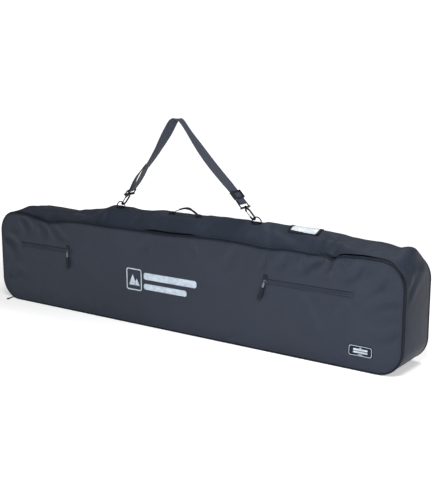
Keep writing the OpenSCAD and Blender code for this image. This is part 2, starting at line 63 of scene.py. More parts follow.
shell_low, shell_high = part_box("front_piping")
end_low, end_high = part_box("gusset_left")
top_low, top_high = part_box("gusset_top")
base_low, base_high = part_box("gusset_base")
HALF_L = shell_high[0]
HEIGHT = shell_high[2]
FRONT_Y = shell_low[1]
BACK_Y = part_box("back_piping")[1][1]
CORNER_X = -end_high[0]
RADIUS = HALF_L - CORNER_X
PIPE_R = (shell_high[1] - shell_low[1]) / 2
BAND_Y0, BAND_Y1 = top_low[1], top_high[1]
BAND_INSET = HALF_L + end_low[0]
CROWN = top_high[2] - (HEIGHT - BAND_INSET)
CROWN_POWER = 3.5
FABRIC = 0.0012


def lerp(a, b, t):
    return a + (b - a) * t


def smooth(x):
    """0 below 0, 1 above 1, and an even step between."""
    x = np.clip(x, 0, 1)
    return x * x * (3 - 2 * x)


def columns(*arrays):
    """Arrays as the columns of one table."""
    return np.stack([np.ravel(a) for a in arrays], 1)


def length_along(points):
    """Length run at each point of a polyline."""
    return np.concatenate([[0], np.cumsum(np.linalg.norm(np.diff(np.asarray(points, float), axis=0),
                                                         axis=1))])


def in_space(normal):
    """Normals of the side outline, (x, z), as vectors in space."""
    return np.stack([normal[:, 0], np.zeros(len(normal)), normal[:, 1]], 1)


def tiled(vector, count):
    return np.tile(np.asarray(vector, float), (count, 1))


def attach(obj, body, slot, *nodes):
    """Puts a piece on its body, in place of its CAD nodes. slot is not used."""
    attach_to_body(obj, body)
    if nodes:
        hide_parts(*nodes)


def bump(x, centre, width):
    return np.exp(-(((x - centre) / width) ** 2))


# ---------------------------------------------------------------- how the soft shell sags

def front_edge_sag(x):
    """How far the lid's top edge hangs below the panel's cut edge, along the bag."""
    return (0.019 * bump(x, -0.57, 0.085) + 0.007 * bump(x, -0.30, 0.20)
            + 0.006 * bump(x, -0.03, 0.13) + 0.008 * bump(x, 0.36, 0.075)
            + 0.006 * bump(x, 0.52, 0.06) + 0.016 * bump(x, 0.590, 0.016)
            - 0.003 * bump(x, 0.70, 0.06))


def back_edge_sag(x):
    return (0.008 * bump(x, -0.50, 0.16) + 0.006 * bump(x, -0.05, 0.12)
            + 0.009 * bump(x, 0.42, 0.11))


def top_share(z):
    """0 at the base, 1 at the top edge."""
    return smooth((z / HEIGHT - 0.55) / 0.45)


def sagged(x, z, y):
    """Height of a point on the shell's edge after the sag, for depth y between front and back."""
    t = smooth((y - FRONT_Y) / (BACK_Y - FRONT_Y))
    return z - lerp(front_edge_sag(x), back_edge_sag(x), t) * top_share(z)


def outline(inset, step):
    """Closed side outline, clockwise from the lower left corner: points (x, z), outward normals, length run."""
    r = RADIUS - inset
    pieces = []
    corners = [(-CORNER_X, RADIUS, 270, 180), (-CORNER_X, HEIGHT - RADIUS, 180, 90),
               (CORNER_X, HEIGHT - RADIUS, 90, 0), (CORNER_X, RADIUS, 0, -90)]
    for k, (cx, cz, a0, a1) in enumerate(corners):
        n = max(6, int(round(r * math.pi / 2 / step)))
        for a in np.radians(np.linspace(a0, a1, n + 1)):
            pieces.append((cx + r * math.cos(a), cz + r * math.sin(a), math.cos(a), math.sin(a)))
        nx_, nz_ = corners[(k + 1) % 4][:2]
        a = math.radians(a1)
        p0 = np.array([cx + r * math.cos(a), cz + r * math.sin(a)])
        p1 = np.array([nx_ + r * math.cos(a), nz_ + r * math.sin(a)])
        length = np.linalg.norm(p1 - p0)
        m = max(2, int(round(length / step)))
        for t in np.arange(1, m) / m:
            p = p0 + (p1 - p0) * t
            pieces.append((p[0], p[1], math.cos(a), math.sin(a)))
    data = np.array(pieces)
    loop = np.vstack([data, data[:1]])
    run = length_along(loop[:, :2])
    return data[:, :2], data[:, 2:], run


# ---------------------------------------------------------------- mesh helpers

def mesh_object(name, verts, faces, material, uvs=None, flat=False):
    mesh = bpy.data.meshes.new(name)
    mesh.from_pydata([tuple(v) for v in np.asarray(verts, float)], [], [tuple(f) for f in faces])
    if uvs is not None:
        layer = mesh.uv_layers.new(name="UVMap")
        index = np.zeros(len(mesh.loops), int)
        mesh.loops.foreach_get("vertex_index", index)
        layer.data.foreach_set("uv", np.asarray(uvs, float)[index].ravel())
    mesh.polygons.foreach_set("use_smooth", [not flat] * len(mesh.polygons))
    mesh.materials.append(material)
    mesh.update()
    obj = bpy.data.objects.new(name, mesh)
    bpy.context.scene.collection.objects.link(obj)
    return obj


def grid_faces(n, m, wrap_n=False, wrap_m=False):
    faces = []
    for i in range(n if wrap_n else n - 1):
        for j in range(m if wrap_m else m - 1):
            i2, j2 = (i + 1) % n, (j + 1) % m
            faces.append((i * m + j, i2 * m + j, i2 * m + j2, i * m + j2))
    return faces


def grid_uvs(n, m, length, width):
    u, v = np.meshgrid(np.linspace(0, length, n), np.linspace(0, width, m), indexing="ij")
    return columns(u, v)


def baked(obj):
    """Applies an object's modifiers."""
    bpy.context.view_layer.update()
    graph = bpy.context.evaluated_depsgraph_get()
    mesh = bpy.data.meshes.new_from_object(obj.evaluated_get(graph), depsgraph=graph)
    obj.modifiers.clear()
    obj.data = mesh
    mesh.name = obj.name
    return obj


def thicken(obj, thickness, offset, levels=0):
    """One or more subdivisions, then real thickness. offset -1 grows inwards, 1 outwards."""
    if levels:
        sub = obj.modifiers.new("subdivide", "SUBSURF")
        sub.levels = sub.render_levels = levels
    solid = obj.modifiers.new("thickness", "SOLIDIFY")
    solid.thickness = thickness
    solid.offset = offset
    solid.use_even_offset = False
    return baked(obj)


def coordinates(obj):
    co = np.zeros(len(obj.data.vertices) * 3)
    obj.data.vertices.foreach_get("co", co)
    return co.reshape(-1, 3)


def set_coordinates(obj, co):
    obj.data.vertices.foreach_set("co", np.asarray(co, float).ravel())
    obj.data.update()


def frames_along(points):
    """Unit tangents of a polyline."""
    d = np.gradient(np.asarray(points, float), axis=0)
    return d / np.maximum(np.linalg.norm(d, axis=1, keepdims=True), 1e-12)


def swept(name, points, sides, normals, profile, material):
    """Sweeps a closed profile of (side, normal) pairs along points, with unit vectors for both at each point."""
    p = np.asarray(points, float)
    s, n = np.asarray(sides, float), np.asarray(normals, float)
    prof = np.asarray(profile, float)
    count, m = len(p), len(prof)
    verts = p[:, None, :] + s[:, None, :] * prof[None, :, 0:1] + n[:, None, :] * prof[None, :, 1:2]
    faces = grid_faces(count, m, wrap_m=True)
    faces.append(tuple(range(m - 1, -1, -1)))
    faces.append(tuple((count - 1) * m + k for k in range(m)))
    run = length_along(p)
    around = length_along(prof)
    u, v = np.meshgrid(run, around, indexing="ij")
    return mesh_object(name, verts.reshape(-1, 3), faces, material, columns(u, v))


def strap_profile(width, thickness, ribs=9):
    """Woven webbing: rounded selvedges and shallow lengthwise ribs on both faces."""
    half, t = width / 2, thickness / 2
    across = np.linspace(-half + t, half - t, ribs * 2 + 1)
    rib = np.where(np.arange(ribs * 2 + 1) % 2 == 0, 0.9, 1.08) * t
    top = [(x, r) for x, r in zip(across, rib)]
    bottom = [(x, -r) for x, r in zip(across[::-1], rib[::-1])]
    return top + [(half - 0.15 * t, 0.5 * t), (half, 0), (half - 0.15 * t, -0.5 * t)] + bottom + [
        (-half + 0.15 * t, -0.5 * t), (-half, 0), (-half + 0.15 * t, 0.5 * t)]


def joined(name, objects):
    """Joins meshes into one piece."""
    with bpy.context.temp_override(active_object=objects[0], object=objects[0],
                                   selected_objects=objects, selected_editable_objects=objects):
        bpy.ops.object.join()
    objects[0].name = name
    objects[0].data.name = name
    return objects[0]


def pills(name, centres, along, normal, length, width, height, material):
    """Many small rounded blocks in one mesh: stitches and zip teeth."""
    shape = np.array([(-0.5, -0.35, 0), (-0.5, 0.35, 0), (-0.32, -0.5, 0), (-0.32, 0.5, 0),
                      (0.32, -0.5, 0), (0.32, 0.5, 0), (0.5, -0.35, 0), (0.5, 0.35, 0),
                      (-0.36, -0.22, 1), (-0.36, 0.22, 1), (0.36, -0.22, 1), (0.36, 0.22, 1)])
    faces = [(0, 1, 3, 5, 7, 6, 4, 2), (8, 10, 11, 9), (2, 4, 10, 8), (0, 2, 8), (4, 6, 10),
             (6, 7, 11, 10), (7, 5, 11), (5, 3, 9, 11), (3, 1, 9), (1, 0, 8, 9)]
    c, a, n = (np.asarray(v, float) for v in (centres, along, normal))
    s = np.cross(n, a)
    local = shape * np.array([length, width, height])
    verts = (c[:, None, :] + a[:, None, :] * local[None, :, 0:1] + s[:, None, :] * local[None, :, 1:2]
             + n[:, None, :] * local[None, :, 2:3]).reshape(-1, 3)
    all_faces = [tuple(k * len(shape) + i for i in f) for k in range(len(c)) for f in faces]
    return mesh_object(name, verts, all_faces, material)


def resampled(points, step):
    """Points every step along a polyline."""
    p = np.asarray(points, float)
    run = length_along(p)
    count = max(2, int(run[-1] / step) + 1)
    at = np.linspace(0, run[-1], count)
    return np.stack([np.interp(at, run, p[:, k]) for k in range(3)], 1)


def surface_of(obj):
    graph = bpy.context.evaluated_depsgraph_get()
    return BVHTree.FromObject(obj, graph)


def dropped(points, tree, direction, lift, start=0.1):
    """Points carried along a direction onto a surface, then lifted off it."""
    d = Vector(direction)
    out = []
    for p in np.asarray(points, float):
        origin = Vector(p) - d * start
        hit = tree.ray_cast(origin, d, 2 * start)
        base = hit[0] if hit[0] is not None else Vector(p)
        out.append(base - d * lift)
    return np.array([tuple(v) for v in out])


# ---------------------------------------------------------------- materials

def new_material(name):
    mat = bpy.data.materials.new(name)
    mat.use_nodes = True
    tree = mat.node_tree
    shader = tree.nodes["Principled BSDF"]
    return mat, tree, shader


def noise_node(tree, vector, scale, detail=4.0, rough=0.55, distortion=0.0):
    node = tree.nodes.new("ShaderNodeTexNoise")
    node.inputs["Scale"].default_value = scale
    node.inputs["Detail"].default_value = detail
    node.inputs["Roughness"].default_value = rough
    node.inputs["Distortion"].default_value = distortion
    tree.links.new(vector, node.inputs["Vector"])
    return node.outputs["Fac"]


def ramp_node(tree, value, low, high, p0=0.3, p1=0.7):
    node = tree.nodes.new("ShaderNodeValToRGB")
    node.color_ramp.elements[0].position = p0
    node.color_ramp.elements[1].position = p1
    node.color_ramp.elements[0].color = (*low, 1)
    node.color_ramp.elements[1].color = (*high, 1)
    tree.links.new(value, node.inputs["Fac"])
    return node.outputs["Color"]


def math_node(tree, operation, a, b):
    node = tree.nodes.new("ShaderNodeMath")
    node.operation = operation
    for socket, value in zip(node.inputs, (a, b)):
        if isinstance(value, (int, float)):
            socket.default_value = value
        else:
            tree.links.new(value, socket)
    return node.outputs[0]


def weighted(tree, a, share, b):
    """share of a and the rest of b."""
    return math_node(tree, "ADD", math_node(tree, "MULTIPLY", a, share),
                     math_node(tree, "MULTIPLY", b, 1 - share))


def set_rough(tree, shader, value, spread, low):
    """Roughness that varies with a pattern, from low up by spread."""
    rough = math_node(tree, "ADD", math_node(tree, "MULTIPLY", value, spread), low)
    tree.links.new(rough, shader.inputs["Roughness"])


def wave_node(tree, vector, direction, period, distortion=0.0, detail=2.0):
    """Bands across a direction, one every period metres."""
    node = tree.nodes.new("ShaderNodeTexWave")
    node.bands_direction = direction
    node.inputs["Scale"].default_value = WAVE_SCALE / period
    node.inputs["Distortion"].default_value = distortion
    node.inputs["Detail"].default_value = detail
    tree.links.new(vector, node.inputs["Vector"])
    return node.outputs["Fac"]


def bump_node(tree, height, strength, distance, normal=None):
    node = tree.nodes.new("ShaderNodeBump")
    node.inputs["Strength"].default_value = strength
    node.inputs["Distance"].default_value = distance
    tree.links.new(height, node.inputs["Height"])
    if normal is not None:
        tree.links.new(normal, node.inputs["Normal"])
    return node.outputs["Normal"]


def linear(rgb):
    """A colour given as 0 to 255 screen values, in the shader's linear light."""
    return tuple((c / 255 / 12.92) if c / 255 <= 0.04045 else ((c / 255 + 0.055) / 1.055) ** 2.4 for c in rgb)


def shade(rgb, factor):
    return tuple(min(1.0, c * factor) for c in rgb)


WAVE_SCALE = 0.314 / 2   # a wave texture's scale for bands one metre apart


def woven(name, colour, thread=0.0012, rough=0.6, sheen=0.25, spread=0.16, wrinkle=0.0, blotch=9.0,
          specular=0.4):
    """Woven fabric: crossing threads, uneven dye, fine rumples and a soft sheen."""
    mat, tree, shader = new_material(name)
    base = linear(colour)
    coords = tree.nodes.new("ShaderNodeTexCoord")
    place, cloth = coords.outputs["Object"], coords.outputs["UV"]
    dye = noise_node(tree, place, blotch, 5.0, 0.6)
    fleck = noise_node(tree, place, 900.0, 2.0, 0.6)
    tone = weighted(tree, dye, 0.75, fleck)
    tree.links.new(ramp_node(tree, tone, shade(base, 1 - spread), shade(base, 1 + spread), 0.34, 0.66),
                   shader.inputs["Base Color"])
    weave = math_node(tree, "MULTIPLY", *(wave_node(tree, cloth, d, thread, 0.6, 1.0) for d in "XY"))
    normal = bump_node(tree, weave, 0.35, thread * 0.25)
    if wrinkle:
        normal = bump_node(tree, noise_node(tree, place, 38.0, 4.0, 0.5, 0.8), wrinkle, 0.003, normal)
    tree.links.new(normal, shader.inputs["Normal"])
    set_rough(tree, shader, dye, 0.16, rough - 0.08)
    shader.inputs["Specular IOR Level"].default_value = specular
    shader.inputs["Sheen Weight"].default_value = sheen
    shader.inputs["Sheen Roughness"].default_value = 0.45
    return mat


def ribbed_webbing(name, colour, sheen=0.3):
    """Webbing: lengthwise ribs crossed by fine picks."""
    mat, tree, shader = new_material(name)
    base = linear(colour)
    coords = tree.nodes.new("ShaderNodeTexCoord")
    picks = wave_node(tree, coords.outputs["UV"], "X", 0.0016, 1.2, 1.0)
    ribs = wave_node(tree, coords.outputs["UV"], "Y", 0.0022)
    both = weighted(tree, picks, 0.5, ribs)
    wear = noise_node(tree, coords.outputs["Object"], 60.0, 4.0, 0.6)
    tree.links.new(ramp_node(tree, weighted(tree, both, 0.5, wear), shade(base, 0.72), shade(base, 1.22),
                             0.3, 0.75),
                   shader.inputs["Base Color"])
    tree.links.new(bump_node(tree, both, 0.5, 0.0004), shader.inputs["Normal"])
    set_rough(tree, shader, wear, 0.2, 0.52)
    shader.inputs["Sheen Weight"].default_value = sheen
    shader.inputs["Specular IOR Level"].default_value = 0.15
    return mat


def metal(name, colour, rough=0.3, worn=(150, 152, 156)):
    """Plated metal with brushed streaks and wear."""
    mat, tree, shader = new_material(name)
    place = tree.nodes.new("ShaderNodeTexCoord").outputs["Object"]
    streak = noise_node(tree, place, 420.0, 3.0, 0.6)
    patch = noise_node(tree, place, 90.0, 5.0, 0.65)
    base = linear(colour)
    worn_tone = tuple(lerp(a, b, 0.35) for a, b in zip(base, linear(worn)))
    tree.links.new(ramp_node(tree, weighted(tree, streak, 0.35, patch), base, worn_tone, 0.42, 0.72),
                   shader.inputs["Base Color"])
    set_rough(tree, shader, patch, 0.25, rough - 0.1)
    tree.links.new(bump_node(tree, streak, 0.12, 0.0002), shader.inputs["Normal"])
    shader.inputs["Metallic"].default_value = 1.0
    return mat


def moulded(name, colour, rough=0.45, grain=0.25, specular=0.5, scale=700.0):
    """Moulded plastic or rubber with a fine spark-eroded grain."""
    mat, tree, shader = new_material(name)
    place = tree.nodes.new("ShaderNodeTexCoord").outputs["Object"]
    fine = noise_node(tree, place, scale, 3.0, 0.6)
    wide = noise_node(tree, place, 45.0, 4.0, 0.6)
    base = linear(colour)
    tree.links.new(ramp_node(tree, wide, shade(base, 0.85), shade(base, 1.18), 0.35, 0.68),
                   shader.inputs["Base Color"])
    tree.links.new(bump_node(tree, fine, grain, 0.0003), shader.inputs["Normal"])
    set_rough(tree, shader, wide, 0.2, rough - 0.1)
    shader.inputs["Specular IOR Level"].default_value = specular
    return mat


def clear_sheet(name):
    mat, tree, shader = new_material(name)
    coords = tree.nodes.new("ShaderNodeTexCoord")
    ripple = noise_node(tree, coords.outputs["Object"], 26.0, 3.0, 0.5, 0.5)
    tree.links.new(bump_node(tree, ripple, 0.35, 0.002), shader.inputs["Normal"])
    shader.inputs["Base Color"].default_value = (0.86, 0.9, 0.95, 1)
    for socket, value in (("Roughness", 0.12), ("Alpha", 0.35), ("Coat Weight", 0.6)):
        shader.inputs[socket].default_value = value
    return mat


LID_CLOTH = woven("lid_coated_cloth", (42, 48, 60), thread=0.0011, rough=0.50, sheen=0.03, spread=0.12,
                  wrinkle=0.10, blotch=4.5, specular=0.20)
BAND_CLOTH = woven("band_coated_cloth", (43, 49, 60), thread=0.0011, rough=0.55, sheen=0.02, spread=0.16,
                   wrinkle=0.25, blotch=8.0, specular=0.12)
BASE_CLOTH = woven("base_coated_cloth", (30, 33, 42), thread=0.0015, rough=0.55, sheen=0.02, spread=0.15,
                   wrinkle=0.15, blotch=12.0, specular=0.15)
LINING = woven("lining_cloth", (44, 49, 60), thread=0.0009, rough=0.45, sheen=0.04, spread=0.12,
               wrinkle=0.3, specular=0.25)
PIPING = woven("piping_cloth", (20, 25, 36), thread=0.0009, rough=0.5, sheen=0.02, spread=0.18, specular=0.15)
BINDING = woven("binding_tape", (27, 32, 42), thread=0.0012, rough=0.6, sheen=0.03, spread=0.15,
                specular=0.15)
ZIP_TAPE = woven("zip_tape_cloth", (22, 26, 35), thread=0.0010, rough=0.62, sheen=0.02, spread=0.12,
                 specular=0.12)
POCKET_TAPE = woven("pocket_zip_tape", (34, 39, 50), thread=0.0010, rough=0.6, sheen=0.02, spread=0.12,
                    specular=0.15)
POCKET_TEETH = moulded("pocket_zip_coil", (28, 32, 41), rough=0.4, specular=0.25)
TEETH = moulded("zip_coil_nylon", (17, 19, 25), rough=0.35, specular=0.3)
STRAP = ribbed_webbing("strap_webbing_weave", (58, 62, 74), sheen=0.05)
WEBBING = ribbed_webbing("handle_webbing_weave", (26, 30, 40), sheen=0.03)
THREAD = moulded("sewing_thread", (34, 40, 52), rough=0.6, grain=0.5, scale=1500.0, specular=0.15)
DARK_METAL = metal("black_nickel", (30, 32, 36), rough=0.34, worn=(110, 113, 118))
BRIGHT_METAL = metal("worn_gunmetal", (112, 117, 124), rough=0.32)
DARK_PLASTIC = moulded("moulded_acetal", (20, 22, 28), rough=0.4, specular=0.3)
RUBBER = moulded("pull_rubber_skin", (25, 29, 38), rough=0.55, specular=0.2)
CARD = moulded("card_stock", (222, 228, 234), rough=0.5, grain=0.1)
PRINT = moulded("white_screen_print", (186, 198, 212), rough=0.5, grain=0.35, scale=1100.0, specular=0.2)
CLEAR = clear_sheet("clear_vinyl")

# ---------------------------------------------------------------- cloth simulation

FRAMES = 20


def add_cloth(obj, cut, held, pressure, stiff=18.0, bend=2.5, gravity=0.15):
    """Cloth whose springs want the lengths of its cut pattern, held where held is above 0."""
    obj.shape_key_add(name="start", from_mix=False)
    key = obj.shape_key_add(name="cut", from_mix=False)
    key.data.foreach_set("co", np.asarray(cut, float).ravel())
    group = obj.vertex_groups.new(name="held")
    for level in np.unique(np.round(held, 2)):
        if level > 0:
            index = np.nonzero(np.round(held, 2) == level)[0]
            group.add([int(i) for i in index], float(level), "REPLACE")
    mod = obj.modifiers.new("cloth", "CLOTH")
    s = mod.settings
    s.vertex_group_mass = "held"
    s.pin_stiffness = 3.0
    s.quality = 6
    s.mass = 0.3
    s.air_damping = 2.0
    s.tension_stiffness = s.compression_stiffness = stiff
    s.shear_stiffness = stiff * 0.5
    s.bending_stiffness = bend
    s.tension_damping = s.compression_damping = 8
    s.use_pressure = True
    s.uniform_pressure_force = pressure
    s.rest_shape_key = key
    s.effector_weights.gravity = gravity
    mod.collision_settings.use_collision = False
    mod.collision_settings.use_self_collision = False
    mod.point_cache.frame_start = 1
    mod.point_cache.frame_end = FRAMES
    return obj


def run_cloth(objects):
    """Steps all the cloth together, and leaves each mesh in its final shape."""
    scene = bpy.context.scene
    for f in range(1, FRAMES + 1):
        scene.frame_set(f)
    graph = bpy.context.evaluated_depsgraph_get()
    for obj in objects:
        shape = bpy.data.meshes.new_from_object(obj.evaluated_get(graph), depsgraph=graph)
        obj.modifiers.clear()
        obj.shape_key_clear()
        obj.vertex_groups.clear()
        obj.data = shape
    scene.frame_set(1)


# ---------------------------------------------------------------- the shell's panels before simulation

GRID = 0.0085


def rounded_grid(half_l, low_z, high_z, radius, step):
    """Quad grid over a rounded rectangle, its corner squares drawn in to quarter discs."""
    n = max(5, int(round(2 * half_l / step)) + 1)
    m = max(5, int(round((high_z - low_z) / step)) + 1)
    x, z = np.meshgrid(np.linspace(-half_l, half_l, n), np.linspace(low_z, high_z, m), indexing="ij")
    cx = np.where(x > 0, half_l - radius, radius - half_l)
    cz = np.where(z > (low_z + high_z) / 2, high_z - radius, low_z + radius)
    u = np.clip((x - cx) * np.sign(x) / radius, 0, 1)
    v = np.clip((z - cz) * np.sign(z - (low_z + high_z) / 2) / radius, 0, 1)
    corner = (u > 0) & (v > 0)
    xs = cx + np.sign(x) * radius * u * np.sqrt(1 - v * v / 2)
    zs = cz + np.sign(z - (low_z + high_z) / 2) * radius * v * np.sqrt(1 - u * u / 2)
    return np.where(corner, xs, x), np.where(corner, zs, z), n, m


def panel(name, y, inset, material, sag, outward):
    """A side panel: cut flat, its top edge then hung with the sag. Returns the object, its cut and its border."""
    x, z, n, m = rounded_grid(HALF_L - inset, inset, HEIGHT - inset, RADIUS - inset, GRID)
    flat = np.stack([x.ravel(), np.full(x.size, y), z.ravel()], 1)
    start = flat.copy()
    start[:, 2] -= sag(start[:, 0]) * top_share(start[:, 2])
    border = np.zeros((n, m), bool)
    border[[0, -1], :] = True
    border[:, [0, -1]] = True
    border = border.ravel()
    start[:, 1] += outward * (0.0006 * rng.standard_normal(len(start)) + 0.002
                              * edge_falloff(start)) * ~border
    faces = grid_faces(n, m)
    if outward < 0:
        faces = [f[::-1] for f in faces]
    uvs = columns(x, z)
    obj = mesh_object(name, start, faces, material, uvs)
    return obj, flat, border, n, m


def edge_falloff(points):
    """0 at the shell's side outline, rising to 1 inside it."""
    dx = np.clip((HALF_L - np.abs(points[:, 0])) / 0.16, 0, 1)
    dz = np.clip(np.minimum(points[:, 2], HEIGHT - points[:, 2]) / 0.12, 0, 1)
    return smooth(dx) * smooth(dz)


# Pocket zips, from the frame
POCKETS = {}
for side in ("left", "right"):
    low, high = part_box(f"{side}_pocket_zip")
    POCKETS[side] = {"x0": low[0], "x1": high[0], "z": (low[2] + high[2]) / 2}

lid_cover, lid_cut, lid_border, lid_n, lid_m = panel(
    "lid_cover", FRONT_Y + 0.0005, 2 * PIPE_R, LID_CLOTH, front_edge_sag, -1)
back_cover, back_cut, back_border = panel(
    "back_cover", BACK_Y - 0.0005, 2 * PIPE_R, BAND_CLOTH, back_edge_sag, 1)[:3]


def fold_field(u, v, folds):
    """Height of pressed folds: each is a valley between two ridges, strongest where it starts."""
    high = np.zeros(np.shape(u))
    for (u0, v0), (u1, v1), width, depth in folds:
        du, dv = u1 - u0, v1 - v0
        length = math.hypot(du, dv)
        t = ((u - u0) * du + (v - v0) * dv) / length ** 2
        off = ((u - u0) * -dv + (v - v0) * du) / length
        off = off - 0.12 * length * np.sin(math.pi * t) * (1 if depth > 0 else -1)
        w = width * (0.75 + 0.5 * np.clip(t, 0, 1))
        shape = -np.exp(-((off / w) ** 2)) + 0.55 * np.exp(-(((off - 1.7 * w) / w) ** 2)) + 0.55 * np.exp(
            -(((off + 1.7 * w) / w) ** 2))
        fade = smooth((t + 0.10) / 0.25) * smooth((1.05 - t) / 0.75)
        high += abs(depth) * shape * fade
    return high


LID_FOLDS = [((0.592, 0.322), (0.560, 0.285), 0.008, 0.0060), ((0.600, 0.320), (0.650, 0.230), 0.016, 0.0030),
             ((0.560, 0.318), (0.470, 0.245), 0.014, -0.0026),
                 ((0.360, 0.322), (0.345, 0.255), 0.010, 0.0030),
             ((0.430, 0.325), (0.400, 0.265), 0.013, 0.0024),
                 ((0.500, 0.325), (0.530, 0.262), 0.012, -0.0022),
             ((0.690, 0.330), (0.620, 0.262), 0.014, 0.0024), ((0.760, 0.300), (0.660, 0.215), 0.018, 0.0026),
             ((0.805, 0.230), (0.690, 0.175), 0.016, -0.0026),
                 ((0.812, 0.150), (0.700, 0.120), 0.016, 0.0022),
             ((0.640, 0.215), (0.600, 0.090), 0.022, 0.0022),
                 ((0.500, 0.200), (0.560, 0.060), 0.026, -0.0020),
             ((0.250, 0.325), (0.180, 0.230), 0.016, 0.0018),
                 ((0.080, 0.325), (0.110, 0.260), 0.014, -0.0014),
             ((-0.100, 0.320), (-0.150, 0.245), 0.016, 0.0014),
                 ((-0.600, 0.308), (-0.580, 0.250), 0.014, 0.0028),
             ((-0.540, 0.306), (-0.470, 0.255), 0.014, -0.0020),
                 ((-0.700, 0.322), (-0.660, 0.260), 0.014, 0.0022),
             ((-0.800, 0.240), (-0.720, 0.180), 0.018, 0.0020),
                 ((-0.790, 0.090), (-0.690, 0.120), 0.018, 0.0018),
             ((-0.350, 0.020), (-0.300, 0.080), 0.020, 0.0016),
                 ((0.200, 0.018), (0.260, 0.085), 0.022, 0.0016),
             ((0.650, 0.020), (0.600, 0.075), 0.018, 0.0018),
                 ((-0.620, 0.018), (-0.560, 0.075), 0.018, 0.0018)]

start = coordinates(lid_cover)
held = lid_border.astype(float)
for p in POCKETS.values():
    zone = (np.abs(start[:, 2] - p["z"]) < GRID * 0.8) & (start[:, 0] > p["x0"]) & (start[:, 0] < p["x1"])
    start[zone, 1] = FRONT_Y + 0.0003
    held[zone] = 1.0
set_coordinates(lid_cover, start)
cut = lid_cut.copy()
cut[:, 0] *= 1.004
cut[:, 2] = lerp(HEIGHT / 2, cut[:, 2], 1.010)
add_cloth(lid_cover, cut, held, pressure=0.35, bend=1.2, gravity=0.35)

cut = back_cut.copy()
cut[:, 0] *= 1.004
cut[:, 2] = lerp(HEIGHT / 2, cut[:, 2], 1.010)
add_cloth(back_cover, cut, back_border.astype(float), pressure=0.4, bend=1.2, gravity=0.3)


def crown(x, y):
    """The frame's own swell of the top."""
    mid, half = (BAND_Y0 + BAND_Y1) / 2, (BAND_Y1 - BAND_Y0) / 2
    return (CROWN * (1 - np.minimum(1, np.abs(x) / CORNER_X) ** CROWN_POWER)
            * np.maximum(0, 1 - ((y - mid) / half) ** 2))


def top_puff(x):
    """How far the stuffed top stands above the panels' edges, along the bag."""
    return np.where(x < 0, 0.045 * (1 - np.clip(-x / 0.86, 0, 1) ** 1.5),
                    0.047 * (1 - np.clip(x / 0.88, 0, 1) ** 7))


def band_puff(x, up):
    """The same round the corners and down the ends, where up is the outward normal's rise."""
    return np.where(up > 0, lerp(0.005, top_puff(x), smooth(up)), lerp(0.005, 0.0, smooth(-up)))


ZIP_END = math.sin(math.radians(70))


def shell_rows(step, part):
    """The shell's side outline: points (x, z), outward normals and run. part is all, upper or zip."""
    xz, normal, run = outline(0.0, step)
    keep = np.ones(len(xz), bool)
    if part == "upper":
        keep = ~((normal[:, 1] < -0.999) & (np.abs(xz[:, 0]) < CORNER_X - 1e-6))
    elif part == "zip":
        keep = normal[:, 1] > -ZIP_END
    return xz[keep], normal[keep], run[:-1][keep]


def rim_points(xz, normal, y, inset):
    x, z = xz[:, 0] - normal[:, 0] * inset, xz[:, 1] - normal[:, 1] * inset
    return np.stack([x, np.full(len(x), y), sagged(x, z, y)], 1)


def rim_strip(name, profile, material, step=0.008, part="upper"):
    """A surface swept round the shell's outline. profile is a row of (y, inset) pairs."""
    xz, normal, run = shell_rows(step, part)
    cols = np.stack([rim_points(xz, normal, y, inset) for y, inset in profile], 1)
    width = length_along(profile)
    u, v = np.meshgrid(run, width, indexing="ij")
    wrap = part == "all"
    faces = grid_faces(len(xz), len(profile), wrap_n=wrap)
    return mesh_object(name, cols.reshape(-1, 3), faces, material, columns(u, v))


def facing(obj, outward):
    """Turns all faces over if most look away from outward, a vector or a function of the face centres."""
    centres = np.array([p.center for p in obj.data.polygons])
    normals = np.array([p.normal for p in obj.data.polygons])
    wanted = outward(centres) if callable(outward) else np.asarray(outward, float)
    if (normals * wanted).sum() < 0:
        obj.data.flip_normals()
        obj.data.update()
    return obj


def from_centre(centres):
    out = centres - np.array([0, (BAND_Y0 + BAND_Y1) / 2, HEIGHT / 2])
    out[:, 1] = 0
    out[:, 0] = np.where(np.abs(centres[:, 0]) > CORNER_X, np.sign(centres[:, 0]) * 0.5, 0)
    return out


GEAR = {n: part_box(n) for n in ("ring_tab_left", "ring_tab_right", "handle_anchor_left",
                               "handle_anchor_right")}
GEAR_Z = min(b[0][2] for b in GEAR.values())

band_xz, band_normal, band_run = shell_rows(GRID, "upper")
rows = int(round((BAND_Y1 - BAND_Y0) / GRID)) + 1
ys = np.linspace(BAND_Y0, BAND_Y1, rows)
start = np.stack([rim_points(band_xz, band_normal, y, BAND_INSET) for y in ys], 1)
on_top = band_normal[:, 1] > 0.99
mid_y = (BAND_Y0 + BAND_Y1) / 2
arch = 1 - ((ys - mid_y) / (BAND_Y1 - BAND_Y0) * 2) ** 2
lift = band_puff(band_xz[:, 0], band_normal[:, 1])[:, None] * arch[None, :]
start[:, :, 0] += band_normal[:, 0, None] * lift
start[:, :, 2] += band_normal[:, 1, None] * lift
cut = start.copy()
v = (ys - BAND_Y0) / (BAND_Y1 - BAND_Y0)
skew = 0.016 * np.sin(band_run[:, None] * 8.0 + 0.8) * (v[None, :] - 0.5)
cut[:, :, 0] = cut[:, :, 0] * 1.008 + skew * np.abs(band_normal[:, 1, None])
cut[:, :, 1] = mid_y + (cut[:, :, 1] - mid_y) * 1.03
cut[:, :, 2] += lift * 0.06 - skew * np.abs(band_normal[:, 0, None])
inner = ((np.arange(rows) > 0) & (np.arange(rows) < rows - 1))[None, :]
wobble = 0.0016 * rng.standard_normal(start.shape[:2]) * inner
start[:, :, 0] += band_normal[:, 0, None] * wobble
start[:, :, 2] += band_normal[:, 1, None] * wobble
held = np.zeros(start.shape[:2])
held[:, [0, -1]] = 1.0
held[[0, -1], :] = 1.0
